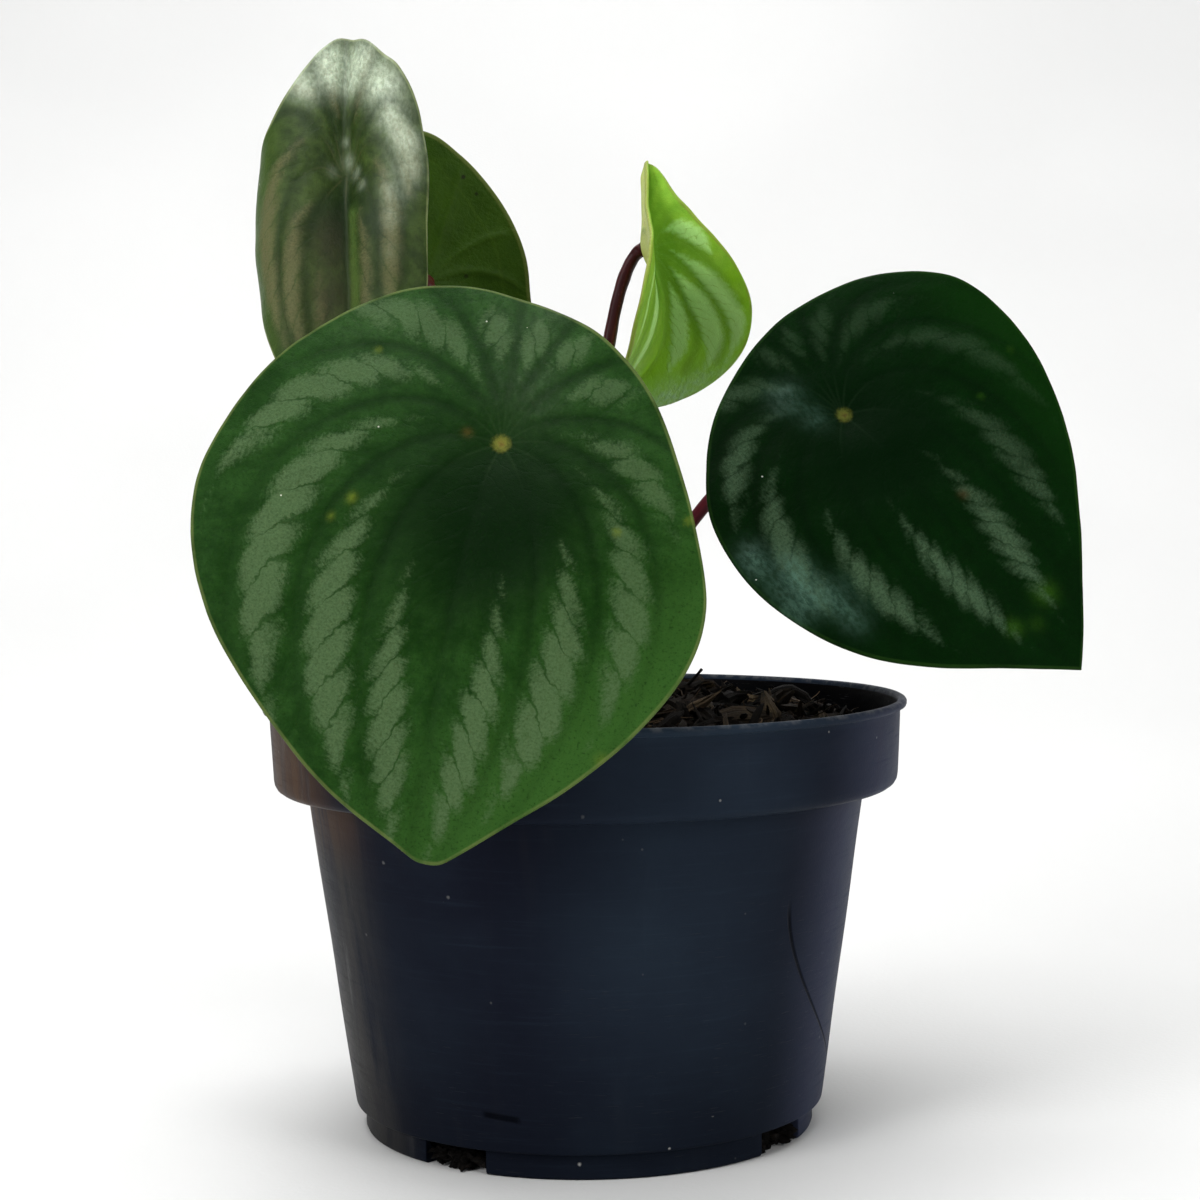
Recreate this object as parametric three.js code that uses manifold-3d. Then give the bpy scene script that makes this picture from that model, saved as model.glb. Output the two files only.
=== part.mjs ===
// A potted peperomia: five striped, shield-shaped leaves on red stalks, in a black nursery pot.
// Millimetres, +Z up. The origin is the middle of the pot's base, on the surface it stands on,
// and the front of the plant looks along -Y.

import * as THREE from 'three';
import { mergeVertices } from 'three/addons/utils/BufferGeometryUtils.js';
import Module from 'manifold-3d';

const wasm = await Module();
wasm.setup();

// Driving dimensions of the pot
const LIP_RADIUS = 60;
const POT_HEIGHT = 79.6;
const WALL = 1.2;
const LIP_DEPTH = 1.5;
const LIP_OVERHANG = 1.2;
const COLLAR_BOTTOM = 63.5;
const COLLAR_BOTTOM_RADIUS = 57.9;
const COLLAR_CORNER = 1.6;
const BODY_TOP_RADIUS = 52;
const BODY_FOOT_RADIUS = 43.9;
const FOOT_RADIUS = 42.1;
const FOOT_HEIGHT = 4.8;
const FLOOR_THICKNESS = 1.4;
const RESTING_DISC_RADIUS = 20;
const CHANNEL_DEPTH = 1.4;
const FOOT_RING_WIDTH = 2.6;
const NOTCH_COUNT = 4;
const NOTCH_ANGLE = 18;
const NOTCH_FIRST_AZIMUTH = -124;
const NOTCH_HEIGHT = 4.4;
const NOTCH_INNER_RADIUS = 35;
const POT_SIDES = 56;

// Driving dimensions of the potting mix
const GAP = 0.3;
const MIX_EDGE_HEIGHT = 71;
const MIX_MOUND = 7.5;
const MIX_LUMP = 0.8;
const CHIP_COUNT = 64;
const CHIP_RING = [15, 50];
const CHIP_LIFT = [-1.2, 0];
const CHIP_LENGTH = [5, 12];
const CHIP_WIDTH = [2.4, 4.6];
const CHIP_THICKNESS = [1.6, 3];
const CHIP_SEED = 11;

// Driving dimensions of the crown and the stalks
const CROWN_RADIUS = 7.4;
const CROWN_BOTTOM = 64;
const CROWN_TOP = 86.5;
const STALK_RADIUS = 1.25;
const STALK_FOOT_HEIGHT = 81.5;
const STALK_SIDES = 8;
const STALK_STEPS = 18;
const SOCKET_SIDES = 12;

// Driving dimensions that all blades share
const BLADE_THICKNESS = 1.1;
const EDGE_THICKNESS = 0.8;
const NAVEL_DEPTH = 1.4;
const NAVEL_WIDTH = 5;
const BLADE_SPOKES = 48;
const BLADE_RINGS = [0.12, 0.28, 0.46, 0.64, 0.82, 1];

// The five leaves. For each one:
// joint is where the stalk meets the middle of the blade's upper face,
// tip is the way from there to the tip, and face is the way the upper face looks,
// droop bends the blade along its midrib and arch bends it across, in degrees per mm,
// fold is the angle by which each half rises at the midrib, rounded over crease mm,
// and gather closes it towards the tip, by a share per mm,
// bow is how far the midrib strays sideways, as the three factors of a cubic in the way along,
// wave is the height and the count of the waves along the margin,
// margin gives the reach from the joint at angles from the tip, right-hand side first,
// foot is where the stalk enters the crown, rise how it leaves it,
// and lead how far it runs square to the blade before it joins.
const LEAVES = [
  {
    name: 'front',
    joint: [-12.7, -60, 126.6],
    tip: [-0.2, -0.42, -0.95],
    face: [-0.05, -0.95, 0.35],
    droop: 0.4,
    arch: 0.34,
    fold: 3,
    gather: 0,
    bow: [-0.117, -0.0005, 0.00003],
    crease: 3,
    wave: [0.7, 5],
    margin: [[0, 69.6], [4, 67.2], [11, 62.2], [21, 57.5], [34, 52.7], [48, 48.2], [60, 42.7],
      [75, 34], [91, 28.8], [112, 26], [132, 24.9], [155, 24.9], [180, 27.2], [205, 30.9], [230, 35.2],
      [253, 41.3], [273, 46.6], [291, 51.3], [310, 54.6], [328, 57.6], [343, 62.4], [356, 67.8],
      [360, 69.6]],
    foot: [0, -4.5],
    rise: [-2, -9, 36],
    lead: 16,
    color: 0x2f5a26,
  },
  {
    name: 'right',
    joint: [46.6, -25, 131.9],
    tip: [0.63, -0.34, -0.71],
    face: [0.12, -0.93, 0.35],
    droop: 0.23,
    arch: 0.29,
    fold: 3,
    gather: 0,
    bow: [0.06, -0.001, 0],
    crease: 3,
    wave: [0.5, 4],
    margin: [[0, 61.4], [5, 58], [14, 51.2], [26, 45.3], [39, 41.6], [56, 39], [74, 37.2], [92, 36.4],
      [107, 34.9], [123, 30.9], [141, 26.3], [163, 22.5], [186, 20.2], [211, 20.4], [234, 22.8], [254, 26.5],
      [273, 32.1], [292, 37.4], [309, 41.6], [324, 45.6], [338, 49.2], [351, 54], [360, 61.4]],
    foot: [4.4, -1.7],
    rise: [20.6, -2.6, 54.6],
    lead: 8.6,
    color: 0x1c3f1f,
  },
  {
    name: 'upper',
    joint: [-43, -6, 177.5],
    tip: [0.02, -0.3, -0.95],
    face: [-0.08, -0.93, 0.35],
    droop: 0.4,
    arch: 6.3,
    fold: 52,
    gather: 0,
    bow: [0, 0, 0],
    crease: 2,
    wave: [0.4, 5],
    margin: [[0, 52], [15, 42], [35, 30], [60, 20.5], [90, 18], [120, 19.5], [148, 23.3], [166, 27.3],
      [188, 27.4], [203, 22.9], [218, 19.2], [238, 18.4], [256, 21.2], [275, 25.8], [300, 29], [325, 34],
      [345, 43], [360, 52]],
    foot: [-4.5, 0.2],
    rise: [-7, 2.5, 42],
    lead: 10,
    color: 0x5c7550,
  },
  {
    name: 'back',
    joint: [-30.7, 22, 159.5],
    tip: [-0.35, 0.05, -0.93],
    face: [-0.1, 0.97, 0.2],
    droop: 0.34,
    arch: 0.34,
    fold: 2,
    gather: 0,
    bow: [0, 0, 0],
    crease: 3,
    wave: [0.6, 4],
    margin: [[0, 50], [15, 42], [35, 33], [60, 27], [90, 24.5], [118, 27.4], [140, 30.9], [160, 28.9],
      [176, 25.3], [194, 22.3], [214, 20.6], [235, 20.1], [255, 20.4], [277, 23.4], [300, 28], [325, 34],
      [345, 42], [360, 50]],
    foot: [-1.8, 4.3],
    rise: [-4, 1, 40],
    lead: 10,
    color: 0x3b5422,
  },
  {
    name: 'young',
    joint: [13.7, 4, 164],
    tip: [0.02, 0.1, -1],
    face: [0.58, -0.815, 0],
    droop: 1.57,
    arch: 0.74,
    fold: 60,
    gather: -0.0172,
    bow: [0.2555, 0.0127, -0.00062],
    crease: 1.2,
    wave: [0.2, 4],
    margin: [[0, 34.6], [15, 33.8], [32, 31], [50, 27.1], [66, 22.5], [80, 17.3], [95, 12.9], [115, 10],
      [140, 10.3], [160, 12.7], [180, 16.3], [200, 13], [220, 10.9], [240, 11.1], [255, 12.8], [270, 17],
      [285, 20.7], [300, 21.4], [315, 22], [330, 24.8], [345, 29.4], [360, 34.6]],
    foot: [1.2, 0.6],
    rise: [0.4, 0.4, 62],
    lead: 7.5,
    color: 0x76a043,
  },
];

const radians = THREE.MathUtils.degToRad;

function seededRandom(seed) {
  let state = seed;
  return () => {
    state = (state * 1664525 + 1013904223) % 4294967296;
    return state / 4294967296;
  };
}

function toSolid(geometry) {
  const bare = geometry.clone();
  bare.deleteAttribute('normal');
  bare.deleteAttribute('uv');
  const merged = mergeVertices(bare, 1e-4);
  return new wasm.Manifold(new wasm.Mesh({
    numProp: 3,
    vertProperties: new Float32Array(merged.attributes.position.array),
    triVerts: new Uint32Array(merged.index.array),
  }));
}

function toGeometry(solid) {
  const mesh = solid.getMesh();
  const geometry = new THREE.BufferGeometry();
  geometry.setAttribute('position', new THREE.BufferAttribute(mesh.vertProperties, 3));
  geometry.setIndex(new THREE.BufferAttribute(mesh.triVerts, 1));
  geometry.computeVertexNormals();
  return geometry;
}

function turned(profile, sides) {
  const points = profile.map(([radius, height]) => new THREE.Vector2(radius, height));
  const geometry = new THREE.LatheGeometry(points, sides);
  geometry.rotateX(Math.PI / 2);
  return geometry;
}

function piece(name, geometry, color, roughness) {
  const material = new THREE.MeshStandardMaterial({ color, roughness, metalness: 0 });
  const mesh = new THREE.Mesh(geometry, material);
  mesh.name = name;
  return mesh;
}

// The radius of the body's outer face at a height, between the foot and the collar.
function bodyRadius(height) {
  const share = (height - FOOT_HEIGHT) / (COLLAR_BOTTOM - FOOT_HEIGHT);
  return THREE.MathUtils.lerp(BODY_FOOT_RADIUS, BODY_TOP_RADIUS, share);
}

// The pot is one moulded shell. Its section runs from the middle of the underside, out and up
// the outside, over the lip, and down the inside to the middle of the floor.
function potGeometry() {
  const lipBottom = POT_HEIGHT - LIP_DEPTH;
  const collarTop = LIP_RADIUS - LIP_OVERHANG;
  const collarInside = collarTop - WALL - 0.4;
  const ledgeTop = COLLAR_BOTTOM + WALL;
  const floorTop = CHANNEL_DEPTH + FLOOR_THICKNESS;
  const section = [
    [0, 0],
    [RESTING_DISC_RADIUS, 0],
    [RESTING_DISC_RADIUS + 1.4, CHANNEL_DEPTH],
    [FOOT_RADIUS - FOOT_RING_WIDTH - 1, CHANNEL_DEPTH],
    [FOOT_RADIUS - FOOT_RING_WIDTH, 0],
    [FOOT_RADIUS - 0.5, 0],
    [FOOT_RADIUS, 0.5],
    [FOOT_RADIUS, FOOT_HEIGHT],
    [BODY_FOOT_RADIUS - 0.7, FOOT_HEIGHT],
    [bodyRadius(FOOT_HEIGHT + 1), FOOT_HEIGHT + 1],
    [bodyRadius(COLLAR_BOTTOM), COLLAR_BOTTOM],
    [COLLAR_BOTTOM_RADIUS - COLLAR_CORNER, COLLAR_BOTTOM],
    [COLLAR_BOTTOM_RADIUS - 0.3, COLLAR_BOTTOM + 0.5],
    [COLLAR_BOTTOM_RADIUS + 0.3, COLLAR_BOTTOM + COLLAR_CORNER],
    [collarTop, lipBottom],
    [LIP_RADIUS - 0.4, lipBottom],
    [LIP_RADIUS, lipBottom + 0.4],
    [LIP_RADIUS, POT_HEIGHT - 0.5],
    [LIP_RADIUS - 0.5, POT_HEIGHT],
    [collarInside + 0.5, POT_HEIGHT],
    [collarInside, POT_HEIGHT - 0.5],
    [COLLAR_BOTTOM_RADIUS - WALL, ledgeTop + 0.8],
    [COLLAR_BOTTOM_RADIUS - WALL - 1, ledgeTop],
    [bodyRadius(COLLAR_BOTTOM) - WALL, ledgeTop],
    [BODY_FOOT_RADIUS - WALL, FOOT_HEIGHT + 1.6],
    [FOOT_RADIUS - WALL, FOOT_HEIGHT],
    [FOOT_RADIUS - WALL, floorTop + 0.6],
    [FOOT_RADIUS - WALL - 0.6, floorTop],
    [RESTING_DISC_RADIUS + 1.4, floorTop],
    [RESTING_DISC_RADIUS, FLOOR_THICKNESS],
    [0, FLOOR_THICKNESS],
  ];
  let pot = toSolid(turned(section, POT_SIDES));
  for (let i = 0; i < NOTCH_COUNT; i += 1) {
    const azimuth = NOTCH_FIRST_AZIMUTH + i * 360 / NOTCH_COUNT;
    pot = pot.subtract(toSolid(notchGeometry(azimuth)));
  }
  return toGeometry(pot);
}

// A drainage notch is a sector of a ring, cut through the foot and the edge of the floor.
function notchGeometry(azimuth) {
  const outer = BODY_FOOT_RADIUS + 2;
  const from = radians(azimuth - NOTCH_ANGLE / 2);
  const to = radians(azimuth + NOTCH_ANGLE / 2);
  const sector = new THREE.Shape();
  sector.absarc(0, 0, outer, from, to, false);
  sector.absarc(0, 0, NOTCH_INNER_RADIUS, to, from, true);
  const options = { depth: NOTCH_HEIGHT + 1, bevelEnabled: false, curveSegments: 3 };
  const geometry = new THREE.ExtrudeGeometry(sector, options);
  geometry.translate(0, 0, -1);
  return geometry;
}

// The top of the mix rises gently to the middle and is lumpy.
function mixHeight(x, y) {
  const share = Math.min(1, Math.hypot(x, y) / LIP_RADIUS);
  const mound = MIX_EDGE_HEIGHT + MIX_MOUND * (1 - share * share);
  const broad = Math.sin(0.31 * x + 1.3) * Math.sin(0.27 * y - 0.4);
  const narrow = 0.7 * Math.sin(0.47 * x - 0.38 * y + 2.1);
  return mound + MIX_LUMP * (broad + narrow);
}

function mixPlugGeometry() {
  const floor = CHANNEL_DEPTH + FLOOR_THICKNESS + GAP;
  const inside = WALL + GAP;
  const ledge = COLLAR_BOTTOM + WALL + GAP;
  const rim = COLLAR_BOTTOM_RADIUS - inside;
  const top = MIX_EDGE_HEIGHT;
  const rings = [0.97, 0.85, 0.7, 0.55, 0.4, 0.25, 0.12, 0];
  const section = [
    [0, floor],
    [FOOT_RADIUS - inside - 0.8, floor],
    [FOOT_RADIUS - inside, floor + 0.8],
    [FOOT_RADIUS - inside, FOOT_HEIGHT + 0.2],
    [BODY_FOOT_RADIUS - inside - 0.1, FOOT_HEIGHT + 2],
    [bodyRadius(COLLAR_BOTTOM) - inside - 0.1, ledge],
    [rim - 1.2, ledge],
    [rim, ledge + 1],
    [rim, top - 1.5],
    ...rings.map((share) => [rim * share, top]),
  ];
  const geometry = turned(section, POT_SIDES);
  const position = geometry.attributes.position;
  for (let i = 0; i < position.count; i += 1) {
    if (position.getZ(i) > top - 0.01) {
      position.setZ(i, mixHeight(position.getX(i), position.getY(i)));
    }
  }
  return geometry;
}

// A bark chip is a small wedge of wood with six sides, lying half sunk in the mix.
function chipGeometry(random) {
  const between = ([low, high]) => low + (high - low) * random();
  const length = between(CHIP_LENGTH);
  const chip = new THREE.CylinderGeometry(0.35, 0.5, 1, 5);
  chip.scale(between(CHIP_WIDTH), length, between(CHIP_THICKNESS));
  chip.rotateY(random() * Math.PI);
  chip.rotateX((random() - 0.5) * 0.7);
  chip.rotateZ(random() * 2 * Math.PI);
  const [nearest, furthest] = CHIP_RING;
  const radius = Math.sqrt(THREE.MathUtils.lerp(nearest ** 2, furthest ** 2, random()));
  const azimuth = random() * 2 * Math.PI;
  const x = radius * Math.cos(azimuth);
  const y = radius * Math.sin(azimuth);
  chip.translate(x, y, mixHeight(x, y) + between(CHIP_LIFT));
  return chip;
}

function pottingMixGeometry() {
  const random = seededRandom(CHIP_SEED);
  let mix = toSolid(mixPlugGeometry());
  for (let i = 0; i < CHIP_COUNT; i += 1) {
    mix = mix.add(toSolid(chipGeometry(random)));
  }
  const hole = new THREE.CylinderGeometry(CROWN_RADIUS + GAP, CROWN_RADIUS + GAP, 40, 24);
  hole.rotateX(Math.PI / 2);
  hole.translate(0, 0, CROWN_BOTTOM - GAP + 20);
  return toGeometry(mix.subtract(toSolid(hole)));
}

// The way a leaf lies: along to its tip, across to its right, and out of its upper face.
function leafFrame(leaf) {
  const along = new THREE.Vector3(...leaf.tip).normalize();
  const out = new THREE.Vector3(...leaf.face);
  out.addScaledVector(along, -out.dot(along)).normalize();
  const across = new THREE.Vector3().crossVectors(out, along);
  return { along, across, out };
}

// A stalk leaves the crown nearly upright and bends over to meet its blade squarely.
function stalkCurve(leaf) {
  const { out } = leafFrame(leaf);
  const foot = new THREE.Vector3(...leaf.foot, STALK_FOOT_HEIGHT);
  const bend = foot.clone().add(new THREE.Vector3(...leaf.rise));
  const top = new THREE.Vector3(...leaf.joint);
  top.addScaledVector(out, -(NAVEL_DEPTH + BLADE_THICKNESS + GAP));
  const approach = top.clone().addScaledVector(out, -leaf.lead);
  return new THREE.CubicBezierCurve3(foot, bend, approach, top);
}

function roundSection(radius, sides) {
  const section = new THREE.Shape();
  for (let i = 0; i < sides; i += 1) {
    const angle = 2 * Math.PI * i / sides;
    const corner = [radius * Math.cos(angle), radius * Math.sin(angle)];
    if (i === 0) {
      section.moveTo(...corner);
    } else {
      section.lineTo(...corner);
    }
  }
  section.closePath();
  return section;
}

function stalkGeometry(leaf) {
  const options = { steps: STALK_STEPS, extrudePath: stalkCurve(leaf) };
  return new THREE.ExtrudeGeometry(roundSection(STALK_RADIUS, STALK_SIDES), options);
}

// A socket follows the stalk's first millimetres and ends a gap below its foot.
function socketGeometry(leaf) {
  const curve = stalkCurve(leaf);
  const below = curve.getPoint(0).addScaledVector(curve.getTangent(0), -GAP);
  const points = [below, curve.getPoint(0.04), curve.getPoint(0.08), curve.getPoint(0.14)];
  const options = { steps: 6, extrudePath: new THREE.CatmullRomCurve3(points) };
  return new THREE.ExtrudeGeometry(roundSection(STALK_RADIUS + GAP + 0.05, SOCKET_SIDES), options);
}

function crownGeometry() {
  const section = [
    [0, CROWN_BOTTOM],
    [CROWN_RADIUS - 2.5, CROWN_BOTTOM],
    [CROWN_RADIUS, CROWN_BOTTOM + 4],
    [CROWN_RADIUS, CROWN_TOP - 7],
    [CROWN_RADIUS - 0.5, CROWN_TOP - 3],
    [CROWN_RADIUS - 2.4, CROWN_TOP - 0.7],
    [0, CROWN_TOP],
  ];
  let crown = toSolid(turned(section, 24));
  for (const leaf of LEAVES) {
    crown = crown.subtract(toSolid(socketGeometry(leaf)));
  }
  return toGeometry(crown);
}

// The place on the blade's upper face of a point of the flat leaf, x across and y along,
// and the way the face looks there.
function bladePoint(leaf, frame, x, y, share) {
  const droop = radians(leaf.droop);
  const arch = radians(leaf.arch);
  const fold = radians(leaf.fold) * (1 + leaf.gather * y);
  const [first, second, third] = leaf.bow;
  const stray = first * y + second * y ** 2 + third * y ** 3;
  const off = x - stray;
  const side = Math.sign(off);
  const beyond = Math.hypot(off, leaf.crease) - leaf.crease;
  const slope = fold - arch * beyond;
  const bent = (Math.sin(fold) - Math.sin(slope)) / arch;
  const sideways = bent + (Math.abs(off) - beyond) * Math.cos(fold);
  const lift = (Math.cos(slope) - Math.cos(fold)) / arch;
  const turn = droop * y;
  const ribOut = frame.out.clone().multiplyScalar(Math.cos(turn));
  ribOut.addScaledVector(frame.along, Math.sin(turn));
  const spread = beyond / (Math.abs(off) + 1e-9) * slope;
  const outward = ribOut.clone().multiplyScalar(Math.cos(spread));
  outward.addScaledVector(frame.across, -side * Math.sin(spread));
  const point = new THREE.Vector3(...leaf.joint);
  point.addScaledVector(frame.along, Math.sin(turn) / droop);
  point.addScaledVector(frame.out, -(1 - Math.cos(turn)) / droop);
  point.addScaledVector(frame.across, side * sideways + stray);
  point.addScaledVector(ribOut, lift);
  const [waveHeight, waveCount] = leaf.wave;
  const wave = waveHeight * share ** 3 * Math.sin(waveCount * Math.atan2(x, y) + 1);
  const navel = NAVEL_DEPTH * Math.exp(-(x * x + y * y) / NAVEL_WIDTH ** 2);
  point.addScaledVector(outward, wave - navel);
  return { point, outward };
}

function marginCurve(leaf) {
  const points = leaf.margin.map(([angle, reach]) => new THREE.Vector2(
    reach * Math.sin(radians(angle)),
    reach * Math.cos(radians(angle)),
  ));
  return new THREE.SplineCurve(points);
}

// A blade is a fan of spokes from the joint to the margin, with the same triangles on both
// faces and a narrow band round the edge.
function bladeGeometry(leaf) {
  const frame = leafFrame(leaf);
  const margin = marginCurve(leaf).getPoints(BLADE_SPOKES).slice(0, BLADE_SPOKES);
  const upper = [];
  const lower = [];
  const addPoint = (x, y, share) => {
    const { point, outward } = bladePoint(leaf, frame, x, y, share);
    const thickness = THREE.MathUtils.lerp(BLADE_THICKNESS, EDGE_THICKNESS, share);
    upper.push(...point);
    lower.push(...point.addScaledVector(outward, -thickness));
  };
  addPoint(0, 0, 0);
  for (const share of BLADE_RINGS) {
    for (const { x, y } of margin) {
      addPoint(x * share, y * share, share);
    }
  }
  const faceCount = 1 + BLADE_RINGS.length * BLADE_SPOKES;
  const index = [];
  const addPair = (a, b, c) => {
    index.push(a, b, c);
    index.push(faceCount + a, faceCount + c, faceCount + b);
  };
  for (let i = 0; i < BLADE_SPOKES; i += 1) {
    const next = (i + 1) % BLADE_SPOKES;
    addPair(0, 1 + i, 1 + next);
    for (let ring = 1; ring < BLADE_RINGS.length; ring += 1) {
      const inner = 1 + (ring - 1) * BLADE_SPOKES;
      const outer = inner + BLADE_SPOKES;
      addPair(inner + i, outer + next, inner + next);
      addPair(inner + i, outer + i, outer + next);
    }
    const edge = faceCount - BLADE_SPOKES;
    index.push(edge + i, faceCount + edge + next, edge + next);
    index.push(edge + i, faceCount + edge + i, faceCount + edge + next);
  }
  const geometry = new THREE.BufferGeometry();
  geometry.setAttribute('position', new THREE.Float32BufferAttribute([...upper, ...lower], 3));
  geometry.setIndex(index);
  geometry.computeVertexNormals();
  return geometry;
}

const plant = new THREE.Group();
plant.add(piece('pot', potGeometry(), 0x1c2026, 0.45));
plant.add(piece('potting_mix', pottingMixGeometry(), 0x33261b, 0.95));
plant.add(piece('crown', crownGeometry(), 0x4a2a22, 0.8));
for (const leaf of LEAVES) {
  plant.add(piece(`stalk_${leaf.name}`, stalkGeometry(leaf), 0x4a1a1e, 0.4));
  plant.add(piece(`blade_${leaf.name}`, bladeGeometry(leaf), leaf.color, 0.4));
}

export default plant;
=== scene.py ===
# A potted peperomia, as it stands: a black nursery pot, bark mix, and five leaves on red stalks.
# The meshes are written in millimetres in the row frame and scaled to metres as they are made.

import math
import random

import bpy
import numpy as np
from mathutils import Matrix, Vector


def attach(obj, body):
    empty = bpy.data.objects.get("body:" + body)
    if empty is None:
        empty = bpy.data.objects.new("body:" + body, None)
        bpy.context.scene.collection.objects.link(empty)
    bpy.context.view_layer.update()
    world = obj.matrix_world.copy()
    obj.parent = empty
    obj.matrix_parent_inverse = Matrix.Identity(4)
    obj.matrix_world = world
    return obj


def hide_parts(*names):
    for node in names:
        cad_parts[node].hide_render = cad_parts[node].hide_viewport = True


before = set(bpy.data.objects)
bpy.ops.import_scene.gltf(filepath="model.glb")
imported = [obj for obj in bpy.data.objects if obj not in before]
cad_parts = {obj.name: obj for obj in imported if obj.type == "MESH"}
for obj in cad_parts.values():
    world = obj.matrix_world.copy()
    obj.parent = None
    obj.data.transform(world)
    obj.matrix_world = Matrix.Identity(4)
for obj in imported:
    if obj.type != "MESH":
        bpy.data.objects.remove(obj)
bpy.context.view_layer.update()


# The camera stands 43 cm before the plant at about half its height and looks slightly down.
# Place, lens and tilt were fitted to the ellipses of the pot's lip and foot in the photograph.
camera_lens = bpy.data.cameras.new("camera")
camera_lens.lens = 69.02
camera_lens.sensor_width = 36
camera_lens.clip_start = 0.01
camera = bpy.data.objects.new("camera", camera_lens)
camera.location = (0.00322, -0.432, 0.1178)
camera.rotation_euler = (math.radians(90 - 2.64), math.radians(0.59), 0)
bpy.context.collection.objects.link(camera)
bpy.context.scene.camera = camera


# The pot is one thin moulding of dark, slightly waxy plastic: a stepped foot with four drainage
# notches, a tapered body, and a deep collar that flares to a narrow lip. It is turned round its
# axis, its notches are cut out column by column, and its edges are rounded by a bevel.
MM = 0.001
NOTCH_AZIMUTH = -124
NOTCH_COUNT = 4
# The wrap map counts along this radius, from the pot's left side.
WRAP_RADIUS = 52


def add_piece(name, points, faces, materials, replaced):
    mesh = bpy.data.meshes.new(name)
    mesh.from_pydata((np.asarray(points) * MM).tolist(), [], faces)
    mesh.validate()
    mesh.shade_smooth()
    for material in materials:
        mesh.materials.append(material)
    made = bpy.data.objects.new(name, mesh)
    bpy.context.collection.objects.link(made)
    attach(made, "root")
    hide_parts(*replaced)
    return made


def add_map(made, name, values):
    """A UV map with one pair of numbers for each vertex."""
    mesh = made.data
    corner = np.empty(len(mesh.loops), dtype=np.int32)
    mesh.loops.foreach_get("vertex_index", corner)
    layer = mesh.uv_layers.new(name=name)
    layer.data.foreach_set("uv", np.asarray(values, dtype=np.float32)[corner].ravel())


def srgb(red, green, blue):
    """A colour of the photograph's scale, 0 to 255, as the shader's linear one."""
    scaled = [value / 255 for value in (red, green, blue)]
    linear = [v / 12.92 if v <= 0.04045 else ((v + 0.055) / 1.055) ** 2.4 for v in scaled]
    return (*linear, 1)


class Field:
    """An output of a shader tree. A sum or product of it is a Math node in the same tree."""

    def __init__(self, tree, socket):
        self.tree, self.socket = tree, socket

    def math(self, operation, *others):
        return put(self.tree, "Math", dict(enumerate((self, *others))), operation=operation)

    def __add__(self, other):
        return self.math("ADD", other)

    def __sub__(self, other):
        return self.math("SUBTRACT", other)

    def __rsub__(self, other):
        return put(self.tree, "Math", {0: other, 1: self}, operation="SUBTRACT")

    def __mul__(self, other):
        return self.math("MULTIPLY", other)

    def __truediv__(self, other):
        return self.math("DIVIDE", other)

    def __abs__(self):
        return self.math("ABSOLUTE")

    __radd__ = __add__
    __rmul__ = __mul__


def put(tree, kind, inputs=None, output=0, **settings):
    """Adds a node, with values or fields on its inputs, and gives one of its outputs."""
    made = tree.nodes.new("ShaderNode" + kind)
    for key, value in settings.items():
        setattr(made, key, value)
    for key, value in (inputs or {}).items():
        if isinstance(value, Field):
            tree.links.new(value.socket, made.inputs[key])
        else:
            made.inputs[key].default_value = value
    return Field(tree, made.outputs[output])


def fade(value, nothing, full):
    """A smooth step from 0 where value is at nothing to 1 where it is at full."""
    inputs = {"Value": value, "From Min": nothing, "From Max": full}
    return put(value.tree, "MapRange", inputs, interpolation_type="SMOOTHSTEP")


def paint(color, *coats):
    """Lays colours over a first one, each with its own share from 0 to 1."""
    for share, coat in coats:
        tree = next(field.tree for field in (share, color, coat) if isinstance(field, Field))
        color = put(tree, "Mix", {0: share, 6: color, 7: coat}, 2, data_type="RGBA")
    return color


def stretch(vector, scale):
    return put(vector.tree, "VectorMath", {0: vector, 1: scale}, operation="MULTIPLY")


def part(vector, index):
    return put(vector.tree, "SeparateXYZ", {0: vector}, index)


def noise(vector, scale, detail=3.0, rough=0.55):
    inputs = {"Vector": vector, "Scale": scale, "Detail": detail, "Roughness": rough}
    return put(vector.tree, "TexNoise", inputs)


def cells(vector, scale):
    """Random cells: how far from the middle of each one, and a number of its own."""
    inputs = {"Vector": vector, "Scale": scale}
    own = put(vector.tree, "SeparateColor", {0: put(vector.tree, "TexVoronoi", inputs, 1)})
    return put(vector.tree, "TexVoronoi", inputs), own


def new_group(name, vectors, colors, numbers, outputs):
    """A shader node group. Returns its tree, its inputs and a call that sets an output."""
    tree = bpy.data.node_groups.new(name, "ShaderNodeTree")

    def add_socket(title, way, kind):
        kind = "NodeSocket" + kind
        return tree.interface.new_socket(name=title, in_out=way, socket_type=kind)

    for title in vectors:
        add_socket(title, "INPUT", "Vector")
    for title in colors:
        add_socket(title, "INPUT", "Color")
    for title, value in numbers.items():
        add_socket(title, "INPUT", "Float").default_value = value
    for title in outputs:
        add_socket(title, "OUTPUT", "Color" if title == "Color" else "Float")
    entry = tree.nodes.new("NodeGroupInput")
    result = tree.nodes.new("NodeGroupOutput")
    given = {socket.name: Field(tree, socket) for socket in entry.outputs}

    def give(title, value):
        tree.links.new(value.socket, result.inputs[title])

    return tree, given, give


def new_material(name, **values):
    material = bpy.data.materials.new(name)
    material.use_nodes = True
    tree = material.node_tree
    shader = tree.nodes["Principled BSDF"]
    for key, value in values.items():
        shader.inputs[key.replace("_", " ")].default_value = value
    return material, tree, shader


def link_bump(tree, shader, height, distance):
    bump = put(tree, "Bump", {"Strength": 1.0, "Distance": distance, "Height": height})
    tree.links.new(bump.socket, shader.inputs["Normal"])


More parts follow.
